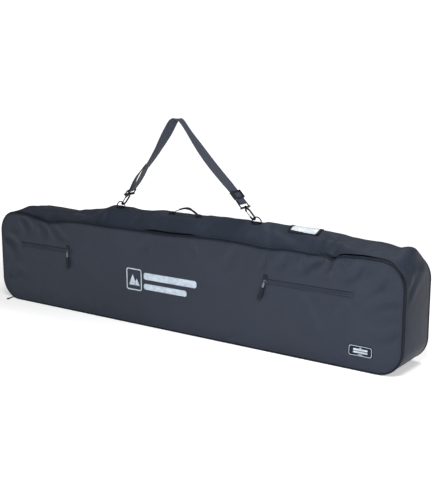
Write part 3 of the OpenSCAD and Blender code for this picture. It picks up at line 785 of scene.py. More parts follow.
for low, high in GEAR.values():
    near = (on_top[:, None] & (start[:, :, 0] > low[0] - 0.008) & (start[:, :, 0] < high[0] + 0.008)
            & (np.abs(start[:, :, 1]) < high[1] + 0.006))
    start[near, 2] = GEAR_Z - 0.0004
    held[near] = 1.0
band_count = len(band_xz)
u_, v_ = np.meshgrid(band_run, ys, indexing="ij")
band = mesh_object("band_cover", start.reshape(-1, 3), grid_faces(band_count, rows), BAND_CLOTH,
                   columns(u_, v_))
facing(band, from_centre)
add_cloth(band, cut.reshape(-1, 3), held.ravel(), pressure=0.45, stiff=14.0, bend=0.8, gravity=0.5)

run_cloth([lid_cover, back_cover, band])

def blurred(field, across, along):
    """Smooths a grid with bell weights, given in cells."""
    for axis, width in ((0, across), (1, along)):
        reach_ = int(3 * width) + 1
        bell = np.exp(-0.5 * (np.arange(-reach_, reach_ + 1) / width) ** 2)
        padded_ = np.pad(field, [(reach_, reach_) if a == axis else (0, 0) for a in range(2)], mode="edge")
        field = np.apply_along_axis(lambda row: np.convolve(row, bell / bell.sum(), "valid"), axis, padded_)
    return field


# The lid's padding keeps its broad bulge low, and folds are pressed into the cloth
co = coordinates(lid_cover)
bulge = (FRONT_Y + 0.0005 - co[:, 1]).reshape(lid_n, lid_m)
broad = blurred(bulge, 6.0, 4.0)
rumple = bulge - broad
broad *= min(1.0, 0.0042 / max(1e-6, float(broad.max())))
co[:, 1] = FRONT_Y + 0.0005 - (broad + blurred(rumple, 0.8, 0.8) * 0.8).ravel()
calm = np.ones(len(co))
for p in POCKETS.values():
    over = np.clip(np.maximum(np.maximum(p["x0"] - co[:, 0], co[:, 0] - p["x1"]),
                              np.abs(co[:, 2] - p["z"]) - 0.014) / 0.02 - 0.4, 0, 1)
    calm *= smooth(over)
border_gap = np.minimum(HALF_L - np.abs(co[:, 0]), np.minimum(co[:, 2],
    HEIGHT - front_edge_sag(co[:, 0]) - co[:, 2]))
co[:, 1] -= 2.6 * fold_field(co[:, 0], co[:, 2], LID_FOLDS) * calm * smooth((border_gap - 0.006) / 0.012)
for p in POCKETS.values():
    off = np.maximum(np.maximum(p["x0"] - 0.016 - co[:, 0], co[:, 0] - p["x1"] - 0.016),
                     np.abs(co[:, 2] - p["z"]) - 0.010)
    co[:, 1] = lerp(np.minimum(np.maximum(co[:, 1], FRONT_Y - 0.0004), FRONT_Y + 0.0003), co[:, 1],
                    smooth(off / 0.014))
set_coordinates(lid_cover, co)

# The stuffing holds the band's broad shape, and the simulation gives its small rumples
co = coordinates(band).reshape(band_count, rows, 3)
hung = np.stack([rim_points(band_xz, band_normal, y, BAND_INSET) for y in ys], 1)
out_n = in_space(band_normal)[:, None, :]
rise = ((co - hung) * out_n).sum(2)
rumple = blurred(rise - blurred(rise, 5.0, 3.0), 1.1, 1.0) * lerp(0.35, 1.3, smooth(band_normal[:, 1]))[:,
    None]
broad = lift.copy()
anchor_low, anchor_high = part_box("handle_anchor_left")[0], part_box("handle_anchor_right")[1]
handle_patch = (np.array([anchor_low[0], -0.030, anchor_low[2]]),
                np.array([anchor_high[0], 0.030, anchor_high[2]]))
for low, high in list(GEAR.values()) + [handle_patch]:
    gap_x = np.maximum(np.abs(hung[:, :, 0] - (low[0] + high[0]) / 2) - (high[0] - low[0]) / 2 - 0.008, 0)
    gap_y = np.maximum(np.abs(hung[:, :, 1]) - high[1] - 0.006, 0)
    near = np.exp(-(gap_x / 0.050) ** 2 - (gap_y / 0.035) ** 2) * on_top[:, None]
    broad = lerp(broad, GEAR_Z - 0.0005 - hung[:, :, 2], near)
    rumple *= 1 - np.exp(-(gap_x / 0.010) ** 2 - (gap_y / 0.010) ** 2) * on_top[:, None]
co = hung + out_n * (broad + rumple)[:, :, None]
run_grid, y_grid = np.meshgrid(band_run, ys, indexing="ij")
band_folds = []
for k in range(34):
    u0 = rng.uniform(band_run[0] + 0.12, band_run[-1] - 0.12)
    front = k % 3 != 0
    slant = rng.uniform(0.03, 0.11) * rng.choice([-1, 1])
    reach_v = rng.uniform(0.06, 0.13)
    v0, v1 = (BAND_Y0 + 0.004, BAND_Y0 + 0.004 + reach_v) if front else (BAND_Y1 - 0.004,
        BAND_Y1 - 0.004 - reach_v)
    band_folds.append(((u0, v0), (u0 + slant, v1), rng.uniform(0.009, 0.016),
                       rng.uniform(0.0022, 0.0046) * rng.choice([-1, 1]) * (1 if front else 0.4)))
height = fold_field(run_grid, y_grid, band_folds)
keep_off = np.ones(height.shape)
solid = list(GEAR.values()) + [handle_patch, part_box("id_window_frame")]
for low, high in solid:
    out_x = np.maximum(low[0] - co[:, :, 0], co[:, :, 0] - high[0])
    out_y = np.maximum(low[1] - co[:, :, 1], co[:, :, 1] - high[1])
    keep_off *= np.where(on_top[:, None], smooth(np.maximum(out_x, out_y) / 0.03), 1)
edge_room = np.minimum(y_grid - BAND_Y0, BAND_Y1 - y_grid)
height *= lerp(1.0, 0.35, smooth((y_grid - mid_y) / 0.03 + 0.5))
height *= keep_off * smooth(edge_room / 0.012) * smooth((run_grid - band_run[0])
                                                        / 0.05) * smooth((band_run[-1] - run_grid) / 0.05)
co[:, :, 0] += band_normal[:, 0, None] * height
co[:, :, 2] += band_normal[:, 1, None] * height
set_coordinates(band, co.reshape(-1, 3))

# Keep the cloth in its room: the panels within a few millimetres of the frame
co = coordinates(lid_cover)
co[:, 1] = np.clip(co[:, 1], FRONT_Y - 0.0105, FRONT_Y + 0.005)
set_coordinates(lid_cover, co)
co = coordinates(back_cover)
co[:, 1] = np.clip(co[:, 1], BACK_Y - 0.005, BACK_Y + 0.009)
set_coordinates(back_cover, co)

for obj, body, node in ((lid_cover, "lid", "lid_panel"), (back_cover, "bag", "back_panel")):
    facing(obj, lambda c, s=(-1 if body == "lid" else 1): np.tile([0, s, 0], (len(c), 1)))
    thicken(obj, FABRIC, -1, levels=1)
    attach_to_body(obj, body)
    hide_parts(node)
thicken(band, FABRIC, -1, levels=1)
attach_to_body(band, "bag")
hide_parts("gusset_top", "gusset_left", "gusset_right")

lid_tree = surface_of(lid_cover)
band_tree = surface_of(band)
back_tree = surface_of(back_cover)


def on_lid(points, lift):
    return dropped(points, lid_tree, (0, 1, 0), lift, start=0.05)


def on_top_cloth(points, lift):
    return dropped(points, band_tree, (0, 0, -1), lift, start=0.08)


# ---------------------------------------------------------------- piping, main zip, seams

def rounded_bead(y, inset, radius):
    return [(y + radius * math.cos(a), inset + radius * math.sin(a))
            for a in np.linspace(0, 2 * math.pi, 13)]


def bead(name, y, material, body, *nodes):
    obj = rim_strip(name, rounded_bead(y, PIPE_R, PIPE_R), material, step=0.008, part="all")
    facing(obj, lambda c: np.stack([np.zeros(len(c)), c[:, 1] - y, np.zeros(len(c))], 1))
    attach(obj, body, "piping", *nodes)
    return obj


bead("front_piping_cord", FRONT_Y + PIPE_R, PIPING, "lid", "front_piping")
bead("back_piping_cord", BACK_Y - PIPE_R, PIPING, "bag", "back_piping")

tape_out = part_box("main_zip_tape_outer")
coil_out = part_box("main_zip_coil_outer")
coil_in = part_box("main_zip_coil_inner")
tape_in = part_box("main_zip_tape_inner")
tape_inset = HALF_L - tape_out[1][0]
coil_inset = HALF_L - coil_out[1][0]

for name, body, edge, coil_edge, nodes in (
        ("zip_tape_lid", "lid", tape_out[0][1] - 0.0006, tape_out[1][1] + 0.0006, ["main_zip_tape_outer"]),
        ("zip_tape_band", "bag", tape_in[1][1] + 0.0012, tape_in[0][1] - 0.0006, ["main_zip_tape_inner"])):
    ys_ = np.linspace(edge, coil_edge, 5)
    profile = [(y, tape_inset + 0.0007 * abs(1 - 2 * k / 4) * (1 if k < 2 else 0.3)) for k,
               y in enumerate(ys_)]
    tape = rim_strip(name, profile, ZIP_TAPE, step=0.008, part="zip")
    facing(tape, from_centre)
    thicken(tape, 0.0010, -1)
    attach(tape, body, "zip_tape", *nodes)

PITCH = 0.0026
for name, body, y0, y1, phase, node in (
        ("zip_teeth_lid", "lid", coil_out[0][1], coil_out[1][1] + 0.0004, 0.0, "main_zip_coil_outer"),
        ("zip_teeth_band", "bag", coil_in[0][1] - 0.0004, coil_in[1][1], 0.5, "main_zip_coil_inner")):
    xz, normal, run = shell_rows(0.004, "zip")
    at = np.arange(run[0] + PITCH * (1 + phase), run[-1] - PITCH, PITCH)
    px, pz = np.interp(at, run, xz[:, 0]), np.interp(at, run, xz[:, 1])
    nx, nz = np.interp(at, run, normal[:, 0]), np.interp(at, run, normal[:, 1])
    scale = 1 / np.hypot(nx, nz)
    nx, nz = nx * scale, nz * scale
    y = (y0 + y1) / 2
    x_, z_ = px - nx * (coil_inset + 0.0010), pz - nz * (coil_inset + 0.0010)
    centres = np.stack([x_, np.full(len(x_), y), sagged(x_, z_, y)], 1)
    n_ = np.stack([nx, np.zeros(len(nx)), nz], 1)
    along = np.tile([0.0, 1.0, 0.0], (len(x_), 1))
    teeth = pills(name, centres, along, n_, abs(y1 - y0) + 0.0010, PITCH * 0.62, 0.0012, TEETH)
    attach(teeth, body, "zip_coil", node)

# Flap of band cloth that stands up beside the zip, and the fold that hinges the lid
flap = rim_strip("band_edge_fold", [(BAND_Y0 + 0.0050, 0.0024), (BAND_Y0 + 0.0022, 0.0009),
                                    (BAND_Y0 - 0.0002, 0.0008),
                                    (BAND_Y0 - 0.0016, 0.0014), (BAND_Y0 - 0.0018, 0.0030)], BAND_CLOTH,
                 step=0.010, part="zip")
facing(flap, from_centre)
thicken(flap, 0.0009, -1)
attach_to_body(flap, "bag")

x_ = np.linspace(-CORNER_X - 0.02, CORNER_X + 0.02, 150)
fold_profile = [(base_low[1] + 0.004, 0.0006), (base_low[1] + 0.001, 0.0010), (base_low[1] - 0.0015, 0.0022),
                (base_low[1] - 0.0035, 0.0030), (base_low[1] - 0.0055, 0.0032)]
verts = np.array([[(x, y, z) for y, z in fold_profile] for x in x_])
hinge = mesh_object("lid_hinge_fold", verts.reshape(-1, 3), grid_faces(len(x_), len(fold_profile)),
                    BASE_CLOTH,
                    grid_uvs(len(x_), len(fold_profile), 1.5, 0.012))
facing(hinge, [0, -0.3, -1])
thicken(hinge, 0.0009, -1)
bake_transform(hinge)


STITCH_HEIGHT = 0.0006


def stitch_line(name, points, normals, body, length=0.0032, pitch=0.0052, width=0.0009):
    """Topstitching along a line."""
    p = np.asarray(points, float)
    run = length_along(p)
    at = np.arange(pitch / 2, run[-1], pitch)
    c = np.stack([np.interp(at, run, p[:, k]) for k in range(3)], 1)
    n = np.stack([np.interp(at, run, np.asarray(normals, float)[:, k]) for k in range(3)], 1)
    n /= np.linalg.norm(n, axis=1, keepdims=True)
    a = frames_along(c)
    a -= n * (a * n).sum(1, keepdims=True)
    a /= np.linalg.norm(a, axis=1, keepdims=True)
    obj = pills(name, c - n * STITCH_HEIGHT * 0.35, a, n, length, width, STITCH_HEIGHT, THREAD)
    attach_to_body(obj, body)
    return obj


xz, normal, run = shell_rows(0.008, "all")
for name, y, inset, body, tree, direction in (("lid_topstitch", FRONT_Y, 0.0115, "lid", lid_tree, (0, 1, 0)),
                                              ("back_topstitch", BACK_Y, 0.0115, "bag", back_tree,
                                               (0, -1, 0))):
    line = rim_points(xz, normal, y, inset)
    line = np.vstack([line, line[:1]])
    on = dropped(line, tree, direction, 0.0001, start=0.05)
    stitch_line(name, on, tiled([-d for d in direction], len(on)), body)
xz, normal, run = shell_rows(0.008, "upper")
for name, y in (("band_front_topstitch", BAND_Y0 + 0.0075), ("band_back_topstitch", BAND_Y1 - 0.0065)):
    line = rim_points(xz, normal, y, BAND_INSET)
    inward = in_space(normal)
    on = []
    for p, n in zip(line, inward):
        hit = band_tree.ray_cast(Vector(p + n * 0.04), Vector(-n), 0.08)
        on.append(tuple(hit[0]) if hit[0] is not None else tuple(p))
    stitch_line(name, np.array(on) + inward * 0.0001, inward, "bag")

# ---------------------------------------------------------------- inside: liners and padding

def liner(name, y_face, y_rim, inset, direction, body, nodes):
    """Quilted lining of a side panel, wrapped round the foam's edge."""
    x, z, n, m = rounded_grid(HALF_L - inset, inset, HEIGHT - inset, RADIUS - inset, 0.010)
    dist = np.minimum(HALF_L - inset - np.abs(x), np.minimum(z - inset, HEIGHT - inset - z))
    qx, qz = (x + z) / 0.150, (x - z) / 0.150
    channel = np.exp(-((np.abs(qx - np.round(qx)) * 0.150 / 0.006) ** 2)) + np.exp(
        -((np.abs(qz - np.round(qz)) * 0.150 / 0.006) ** 2))
    y = y_face + direction * (0.0016 * np.minimum(channel, 1) * smooth(dist / 0.05)
                              - 0.0006 * rng.standard_normal(x.shape) * smooth(dist / 0.03) * 0.5)
    y = lerp(y_rim, y, smooth(dist / 0.014) ** 0.5)
    z = z - np.where(z > HEIGHT / 2, (front_edge_sag(x) if body == "lid" else back_edge_sag(x)),
                     0) * top_share(z)
    obj = mesh_object(name, np.stack([x.ravel(), y.ravel(), z.ravel()], 1), grid_faces(n, m), LINING,
                      columns(x, z))
    facing(obj, [0, -direction, 0])
    thicken(obj, 0.0012, -1, levels=1)
    attach(obj, body, "lining", *nodes)
    return obj


lid_liner = liner("lid_quilted_liner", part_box("lid_lining")[1][1], FRONT_Y + 0.0062, 0.0070, -1, "lid",
                  ["lid_lining", "lid_foam"])
back_liner = liner("back_quilted_liner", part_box("back_lining")[0][1], BACK_Y - 0.0062, 0.0070, 1, "bag",
                   ["back_lining", "back_foam"])
liner_inset = HALF_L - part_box("band_lining")[1][0]
inner_profile = [(BAND_Y0 - 0.0012, 0.0030), (BAND_Y0 - 0.0006, 0.0065),
                 (BAND_Y0 + 0.0030, liner_inset + 0.0004)]
inner_profile += [(y, liner_inset + 0.0012) for y in np.linspace(BAND_Y0 + 0.014, BAND_Y1 - 0.004, 11)]
xz, normal, run = shell_rows(0.012, "all")
cols = np.stack([rim_points(xz, normal, y, inset) for y, inset in inner_profile], 1)
for j, (y, inset) in enumerate(inner_profile):
    rise = np.where(normal[:, 1] > 0.99, crown(cols[:, j, 0], y), 0)
    cols[:, j, 2] += rise * (0.9 if j > 2 else 1.0)
    if j > 3:
        cols[:, j, :] -= in_space(normal) * (
            0.0016 * np.sin(run[:, None] * 42.0) ** 8)
band_liner = mesh_object("band_quilted_liner", cols.reshape(-1, 3),
                         grid_faces(len(xz), len(inner_profile), wrap_n=True),
                         LINING, np.stack([np.repeat(run, len(inner_profile)),
                                           np.tile([y for y, _ in inner_profile], len(xz))], 1))
facing(band_liner, lambda c: -(c - np.array([0, 0, HEIGHT / 2])) * np.array([0.2, 0, 1.0]))
thicken(band_liner, 0.0012, -1, levels=1)
attach(band_liner, "bag", "lining", "band_lining", "top_lining", "top_foam", "base_foam", "end_foams")

# Base: heavier cloth with a slightly rounded front and back edge
x_ = np.linspace(-CORNER_X, CORNER_X, 150)
edge = 0.0011
base_profile = [(base_low[1], edge), (base_low[1] + 0.0010, 0.0003), (base_low[1] + 0.004, 0.0)]
base_profile += [(y, 0.0) for y in np.linspace(base_low[1] + 0.02, base_high[1] - 0.02, 6)]
base_profile += [(base_high[1] - 0.004, 0.0), (base_high[1] - 0.0010, 0.0003), (base_high[1], edge)]
verts = np.array([[(x, y, z) for y, z in base_profile] for x in x_])
base = mesh_object("base_cover", verts.reshape(-1, 3), grid_faces(len(x_), len(base_profile)), BASE_CLOTH,
                   grid_uvs(len(x_), len(base_profile), 2 * CORNER_X, base_high[1] - base_low[1]))
facing(base, [0, 0, -1])
thicken(base, 0.0018, -1)
attach(base, "bag", "base_fabric", "gusset_base")

# ---------------------------------------------------------------- pockets

def rounded_patch(width, height, radius, step):
    """Quad grid on a rounded rectangle centred on the origin, as (u, v) with counts."""
    return rounded_grid(width / 2, -height / 2, height / 2, radius, step)


def sewn_flat(name, centre, width, height, radius, step, material, tree_on, plane, thickness, proud=0.0002,
              puff=0.0):
    """A flat piece laid on the cloth. plane is xz for the lid and xy for the top."""
    u, v, n, m = rounded_patch(width, height, radius, step)
    if plane == "xz":
        pts = np.stack([centre[0] + u.ravel(), np.full(u.size, centre[1]), centre[2] + v.ravel()], 1)
        outward = (0, -1, 0)
    else:
        pts = np.stack([centre[0] + u.ravel(), centre[1] + v.ravel(), np.full(u.size, centre[2])], 1)
        outward = (0, 0, 1)
    on = tree_on(pts, proud)
    if puff:
        away = np.minimum(width / 2 - np.abs(u.ravel()), height / 2 - np.abs(v.ravel()))
        on += np.array(outward) * (puff * smooth(away / (0.35 * min(width, height))))[:, None]
    obj = mesh_object(name, on, grid_faces(n, m), material, columns(u, v))
    facing(obj, outward)
    thicken(obj, thickness, 1)
    return obj


for side, p in POCKETS.items():
    length = p["x1"] - p["x0"]
    mid = (p["x0"] + p["x1"]) / 2
    flat_y = FRONT_Y - 0.0001
    xs = np.linspace(p["x0"] - 0.004, p["x1"] + 0.004, int(length / 0.006))
    # tape, teeth and the two folded welts
    tape_v = np.linspace(-0.0058, 0.0058, 7)
    pts = np.array([[(x, flat_y - 0.0003 * (abs(w) < 0.004), p["z"] + w) for w in tape_v] for x in xs])
    tape = mesh_object(f"{side}_pocket_tape", pts.reshape(-1, 3), grid_faces(len(xs), 7), POCKET_TAPE,
                       grid_uvs(len(xs), 7, length, 0.0116))
    facing(tape, [0, -1, 0])
    thicken(tape, 0.0008, -1)
    attach(tape, "lid", "zip_tape", f"{side}_pocket_zip")
    at = np.arange(p["x0"], p["x1"], PITCH / 2)
    centres = np.stack([at, np.full(len(at), flat_y - 0.0002),
                        p["z"] + 0.0008 * np.where(np.arange(len(at)) % 2 == 0, 1, -1)], 1)
    teeth = pills(f"{side}_pocket_teeth", centres, tiled([0, 0, 1], len(at)), tiled([0, -1, 0], len(at)),
                  0.0030, PITCH * 0.40, 0.0010, POCKET_TEETH)
    attach(teeth, "lid", "zip_coil")
    welts = []
    for sign in (1, -1):
        prof = [(0.0003, 0.0002), (0.0006, 0.0010), (0.0018, 0.0014), (0.0042, 0.0013), (0.0062, 0.0008),
                (0.0068, -0.0004)]
        pts = np.array([[(x, flat_y - h, p["z"] + sign * w) for w, h in prof] for x in xs])
        welt = mesh_object(f"{side}_welt_{sign}", pts.reshape(-1, 3), grid_faces(len(xs), len(prof)),
                           LID_CLOTH,
                           grid_uvs(len(xs), len(prof), length, 0.010))
        facing(welt, [0, -1, 0])
        thicken(welt, 0.0007, -1)
        welts.append(welt)
    welt = joined(f"{side}_pocket_welts", welts)
    attach(welt, "lid", "lid_fabric", f"{side}_pocket_welt")
    for sign in (1, -1):
        line = np.stack([xs, np.full(len(xs), flat_y - 0.0011), np.full(len(xs), p["z"] + sign * 0.0050)], 1)
        stitch_line(f"{side}_welt_stitch_{'up' if sign > 0 else 'down'}", line, tiled([0, -1, 0], len(xs)),
                    "lid")
        # a darker strip along each side of the welt: partly its seam, partly painted shade for the shadow line
        # under the welt's edge
        pts = np.array([[(x, FRONT_Y, p["z"] + sign * w) for w in (0.0066, 0.0074, 0.0082)] for x in xs])
        seam_and_shade_strip = mesh_object(f"{side}_welt_seam_shade_{'up' if sign > 0 else 'down'}",
                           on_lid(pts.reshape(-1, 3), 0.0008),
                           grid_faces(len(xs), 3), POCKET_TAPE, grid_uvs(len(xs), 3, length, 0.0016))
        facing(seam_and_shade_strip, [0, -1, 0])
        thicken(seam_and_shade_strip, 0.0006, -1)
        attach(seam_and_shade_strip, "lid", "lid_fabric")
    low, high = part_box(f"{side}_pocket_garage")
    garage_x = (low[0] + high[0]) / 2
    for end, x_end in (("start", p["x0"] - 0.004), ("end", p["x1"] + 0.004)):
        tack = sewn_flat(f"{side}_pocket_tack_{end}", (x_end, FRONT_Y, p["z"]), 0.005, 0.019, 0.002, 0.003,
                         LID_CLOTH,
                         lambda q, lift: np.asarray(q) - np.array([0, 0.0012, 0]), "xz", 0.0008)
        attach(tack, "lid", "binding")
    garage = sewn_flat(f"{side}_pocket_hood", (garage_x, FRONT_Y, (low[2] + high[2]) / 2), high[0] - low[0],
                       high[2] - low[2], 0.003, 0.003, BINDING, on_lid, "xz", 0.0009, puff=0.0004)
    attach(garage, "lid", "binding", f"{side}_pocket_garage")
    low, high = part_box(f"{side}_pocket_bag")
    u, w, n, m = rounded_grid((high[0] - low[0]) / 2, 0, high[2] - low[2], 0.02, 0.014)
    y = FRONT_Y + 0.0071 + 0.0003 * rng.standard_normal(u.shape)
    pouch = mesh_object(f"{side}_pocket_pouch", np.stack([u.ravel() + (low[0] + high[0]) / 2, y.ravel(),
                                                          w.ravel() + low[2]], 1),
                        grid_faces(n, m), LINING, columns(u, w))
    facing(pouch, [0, -1, 0])
    thicken(pouch, 0.0008, -1)
    attach(pouch, "lid", "lining", f"{side}_pocket_bag")

# ---------------------------------------------------------------- printed mark and sewn label, both generic

def print_grid(u, v):
    """A grid of (u, v) print coordinates laid on the lid."""
    n, m = u.shape
    pts = np.stack([u.ravel(), np.full(u.size, FRONT_Y), v.ravel()], 1)
    obj = mesh_object("print_part", on_lid(pts, 0.00025), grid_faces(n, m), PRINT,
                      columns(u, v))
    facing(obj, [0, -1, 0])
    thicken(obj, 0.0002, 1)
    return obj


def print_bar(x0, x1, z0, z1, radius=0.002, slant=0.0):
    u, v, n, m = rounded_patch(x1 - x0, z1 - z0, radius, 0.0045)
    return print_grid(u + (x0 + x1) / 2 + slant * v, v + (z0 + z1) / 2)


def print_ring(cx, cz, width, height, radius, line):
    """A rounded outline."""
    pts = []
    for k in range(4):
        sx, sz = [(1, 1), (-1, 1), (-1, -1), (1, -1)][k]
        a0 = k * math.pi / 2
        for a in np.linspace(a0, a0 + math.pi / 2, 7):
            pts.append((sx * (width / 2 - radius) + radius * math.cos(a),
                        sz * (height / 2 - radius) + radius * math.sin(a),
                        math.cos(a), math.sin(a)))
    pts = np.array(pts + pts[:1])
    fine = []
    for a, b in zip(pts[:-1], pts[1:]):
        steps = max(1, int(math.hypot(*(b - a)[:2]) / 0.006))
        fine += [a + (b - a) * t / steps for t in range(steps)]
    fine = np.array(fine + [pts[-1]])
    off = np.linspace(-line / 2, line / 2, 2)
    u = fine[:, 0:1] + fine[:, 2:3] * off + cx
    v = fine[:, 1:2] + fine[:, 3:4] * off + cz
    return print_grid(u, v)


def print_triangle(cx, base_z, half, height):
    rows_ = np.linspace(0, 0.999, 9)
    u = np.array([[cx + half * (1 - r) * s for s in np.linspace(-1, 1, 9)] for r in rows_])
    v = np.array([[base_z + height * r for _ in range(9)] for r in rows_])
    return print_grid(u, v)


low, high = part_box("front_mark")
mx0, mx1, mz0, mz1 = low[0], high[0], low[2], high[2]
tall = mz1 - mz0
parts = [print_ring(mx0 + tall * 0.46, (mz0 + mz1) / 2, tall * 0.86, tall * 0.98, 0.007, 0.0042),
         print_triangle(mx0 + tall * 0.38, mz0 + tall * 0.22, tall * 0.22, tall * 0.52),
         print_triangle(mx0 + tall * 0.62, mz0 + tall * 0.22, tall * 0.17, tall * 0.34)]
bar_x = mx0 + tall * 1.04
parts += [print_bar(bar_x, mx1, mz0 + tall * 0.57, mz0 + tall * 0.90, radius=0.008),
          print_bar(bar_x, mx1 - tall * 0.55, mz0 + tall * 0.10, mz0 + tall * 0.38, radius=0.008)]
mark = joined("front_print", parts)
attach(mark, "lid", "print", "front_mark")

low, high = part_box("label_patch")
lx, lz, lw, lh = (low[0] + high[0]) / 2, (low[2] + high[2]) / 2, high[0] - low[0], high[2] - low[2]
label = sewn_flat("label_badge", (lx, FRONT_Y, lz), lw, lh, 0.007, 0.004, BINDING, on_lid, "xz", 0.0008,
                  puff=0.0004)
attach(label, "lid", "binding", "label_patch")
label_tree = surface_of(label)
_lid = on_lid
on_lid = lambda q, lift: dropped(q, label_tree, (0, 1, 0), lift, start=0.05)
parts = [print_ring(lx, lz, lw * 0.93, lh * 0.84, 0.006, 0.0016),
         print_bar(lx - lw * 0.30, lx + lw * 0.30, lz + lh * 0.02, lz + lh * 0.20, 0.0015),
         print_bar(lx - lw * 0.30, lx + lw * 0.30, lz - lh * 0.20, lz - lh * 0.04, 0.0015),
         print_bar(lx - lw * 0.10, lx + lw * 0.10, lz - lh * 0.34, lz - lh * 0.28, 0.0008),
         print_triangle(lx, lz + lh * 0.24, lw * 0.06, lh * 0.10)]
label_print = joined("label_print", parts)
on_lid = _lid
attach(label_print, "lid", "print")

# ---------------------------------------------------------------- card window on the top

low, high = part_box("id_window_frame")
wx, wy = (low[0] + high[0]) / 2, (low[1] + high[1]) / 2
ww, wh = high[0] - low[0], high[1] - low[1]
u, v, n, m = rounded_patch(ww + 0.016, wh + 0.016, 0.012, 0.006)
pts = np.stack([wx + u.ravel(), wy + v.ravel(), np.full(u.size, high[2])], 1)
bed = on_top_cloth(pts, 0.0)
# a shared, smoothed bed for the card, the sheet and the frame
bed_z = bed[:, 2].reshape(n, m)
for _ in range(12):
    bed_z = (bed_z + np.roll(bed_z, 1, 0) * 0.25 + np.roll(bed_z, -1, 0) * 0.25 + np.roll(bed_z, 1, 1) * 0.25
             + np.roll(bed_z, -1, 1) * 0.25) / 2
bed_z[[0, -1], :] = bed[:, 2].reshape(n, m)[[0, -1], :]
bed_z[:, [0, -1]] = bed[:, 2].reshape(n, m)[:, [0, -1]]
bed_z = np.maximum(bed_z, bed[:, 2].reshape(n, m)) + 0.0002
bed_mesh = mesh_object("bed_guide", np.stack([pts[:, 0], pts[:, 1], bed_z.ravel()], 1), grid_faces(n, m),
                       CARD)
facing(bed_mesh, [0, 0, 1])
bpy.context.view_layer.update()
bed_tree = surface_of(bed_mesh)
on_bed = lambda q, lift: dropped(q, bed_tree, (0, 0, -1), lift, start=0.08)
card_low, card_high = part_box("id_card")
card = sewn_flat("card_insert", (wx, wy, high[2]), card_high[0] - card_low[0], card_high[1] - card_low[1],
                 0.002, 0.006,
                 CARD, on_bed, "xy", 0.0005, proud=0.0002)
attach(card, "bag", "card", "id_card")
win_low, win_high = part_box("id_window")
sheet_w, sheet_h = win_high[0] - win_low[0], win_high[1] - win_low[1]
window = sewn_flat("clear_window", (wx, wy, high[2]), sheet_w + 0.006, sheet_h + 0.006, 0.004, 0.006, CLEAR,
                   on_bed, "xy",
                   0.0004, proud=0.0011, puff=0.0012)
attach(window, "bag", "clear_sheet", "id_window")


def border_strip(name, cx, cy, width, height, radius, band_w, material, lift, thickness):
    """A sewn binding: a rounded outline of a given width, laid on the bed."""
    pts_ = []
    for k in range(4):
        sx, sy = [(1, 1), (-1, 1), (-1, -1), (1, -1)][k]
        for a in np.linspace(k * math.pi / 2, (k + 1) * math.pi / 2, 6):
            pts_.append((sx * (width / 2 - radius) + radius * math.cos(a),
                         sy * (height / 2 - radius) + radius * math.sin(a),
                         math.cos(a), math.sin(a)))
    pts_ = pts_ + pts_[:1]
    fine = []
    for a, b in zip(np.array(pts_)[:-1], np.array(pts_)[1:]):
        steps = max(1, int(math.hypot(*(b - a)[:2]) / 0.006))
        fine += [a + (b - a) * t / steps for t in range(steps)]
    fine = np.array(fine)
    offs = np.linspace(0, -band_w, 5)
    rise = [0, 0.7, 1.0, 0.7, 0.0]
    grid = []
    for o, r in zip(offs, rise):
        q = np.stack([cx + fine[:, 0] + fine[:, 2] * o, cy + fine[:, 1] + fine[:, 3] * o,
                      np.full(len(fine), high[2])], 1)
        on = on_bed(q, lift)
        on[:, 2] += r * thickness
        grid.append(on)
    grid = np.stack(grid, 1)
    obj = mesh_object(name, grid.reshape(-1, 3), grid_faces(len(fine), 5, wrap_n=True), material,
                      np.stack([np.repeat(np.arange(len(fine)) * 0.006, 5),
                                np.tile(np.abs(offs), len(fine))], 1))
    facing(obj, [0, 0, 1])
    thicken(obj, 0.0007, -1)
    return obj, fine


frame_strip, fine = border_strip("window_binding", wx, wy, ww, wh, 0.010, 0.0105, BINDING, 0.0015, 0.0011)
attach(frame_strip, "bag", "binding", "id_window_frame")
for k, off in enumerate((0.0022, 0.0082)):
    q = np.stack([wx + fine[:, 0] - fine[:, 2] * off, wy + fine[:, 1] - fine[:, 3] * off,
                  np.full(len(fine), high[2])], 1)
    q = np.vstack([q, q[:1]])
    on = on_bed(q, 0.0015 + 0.0009)
    stitch_line(f"window_stitch_{k}", on, tiled([0, 0, 1], len(on)), "bag")
bpy.data.objects.remove(bed_mesh)

# ---------------------------------------------------------------- sewn tabs and the handle

def block(name, low, high, material, rounding=0.0009, bulge=0.0006, steps=7):
    """A soft block of folded webbing with rounded edges and a slight bulge."""
    c = [(a + b) / 2 for a, b in zip(low, high)]
    h = [(b - a) / 2 for a, b in zip(low, high)]
    u, v, n, m = rounded_patch(2 * h[0], 2 * h[1], min(h[0], h[1]) * 0.35, max(h[0], h[1]) / steps)
    away = np.minimum(h[0] - np.abs(u), h[1] - np.abs(v))
    top = h[2] - rounding * (1 - smooth(away / (rounding * 2.5))) + bulge * smooth(away / min(h[0], h[1]))
    upper = np.stack([c[0] + u, c[1] + v, c[2] + top], 2).reshape(-1, 3)
    lower = upper.copy()
    lower[:, 2] = low[2]
    ring_ = [i * m for i in range(n)] + [(n - 1) * m + j for j in range(1,
        m)] + [i * m + m - 1 for i in range(n - 2, -1, -1)] + [
        j for j in range(m - 2, 0, -1)]
    off = len(upper)
    faces = grid_faces(n, m) + [tuple(off + i for i in f[::-1]) for f in grid_faces(n, m)]
    faces += [(ring_[k], ring_[(k + 1) % len(ring_)], off + ring_[(k + 1) % len(ring_)],
               off + ring_[k]) for k in range(len(ring_))]
    obj = mesh_object(name, np.vstack([upper, lower]), faces, material,
                      np.vstack([columns(u, v)] * 2))
    bm = bmesh.new()
    bm.from_mesh(obj.data)
    bmesh.ops.recalc_face_normals(bm, faces=bm.faces)
    bm.to_mesh(obj.data)
    bm.free()
    return obj


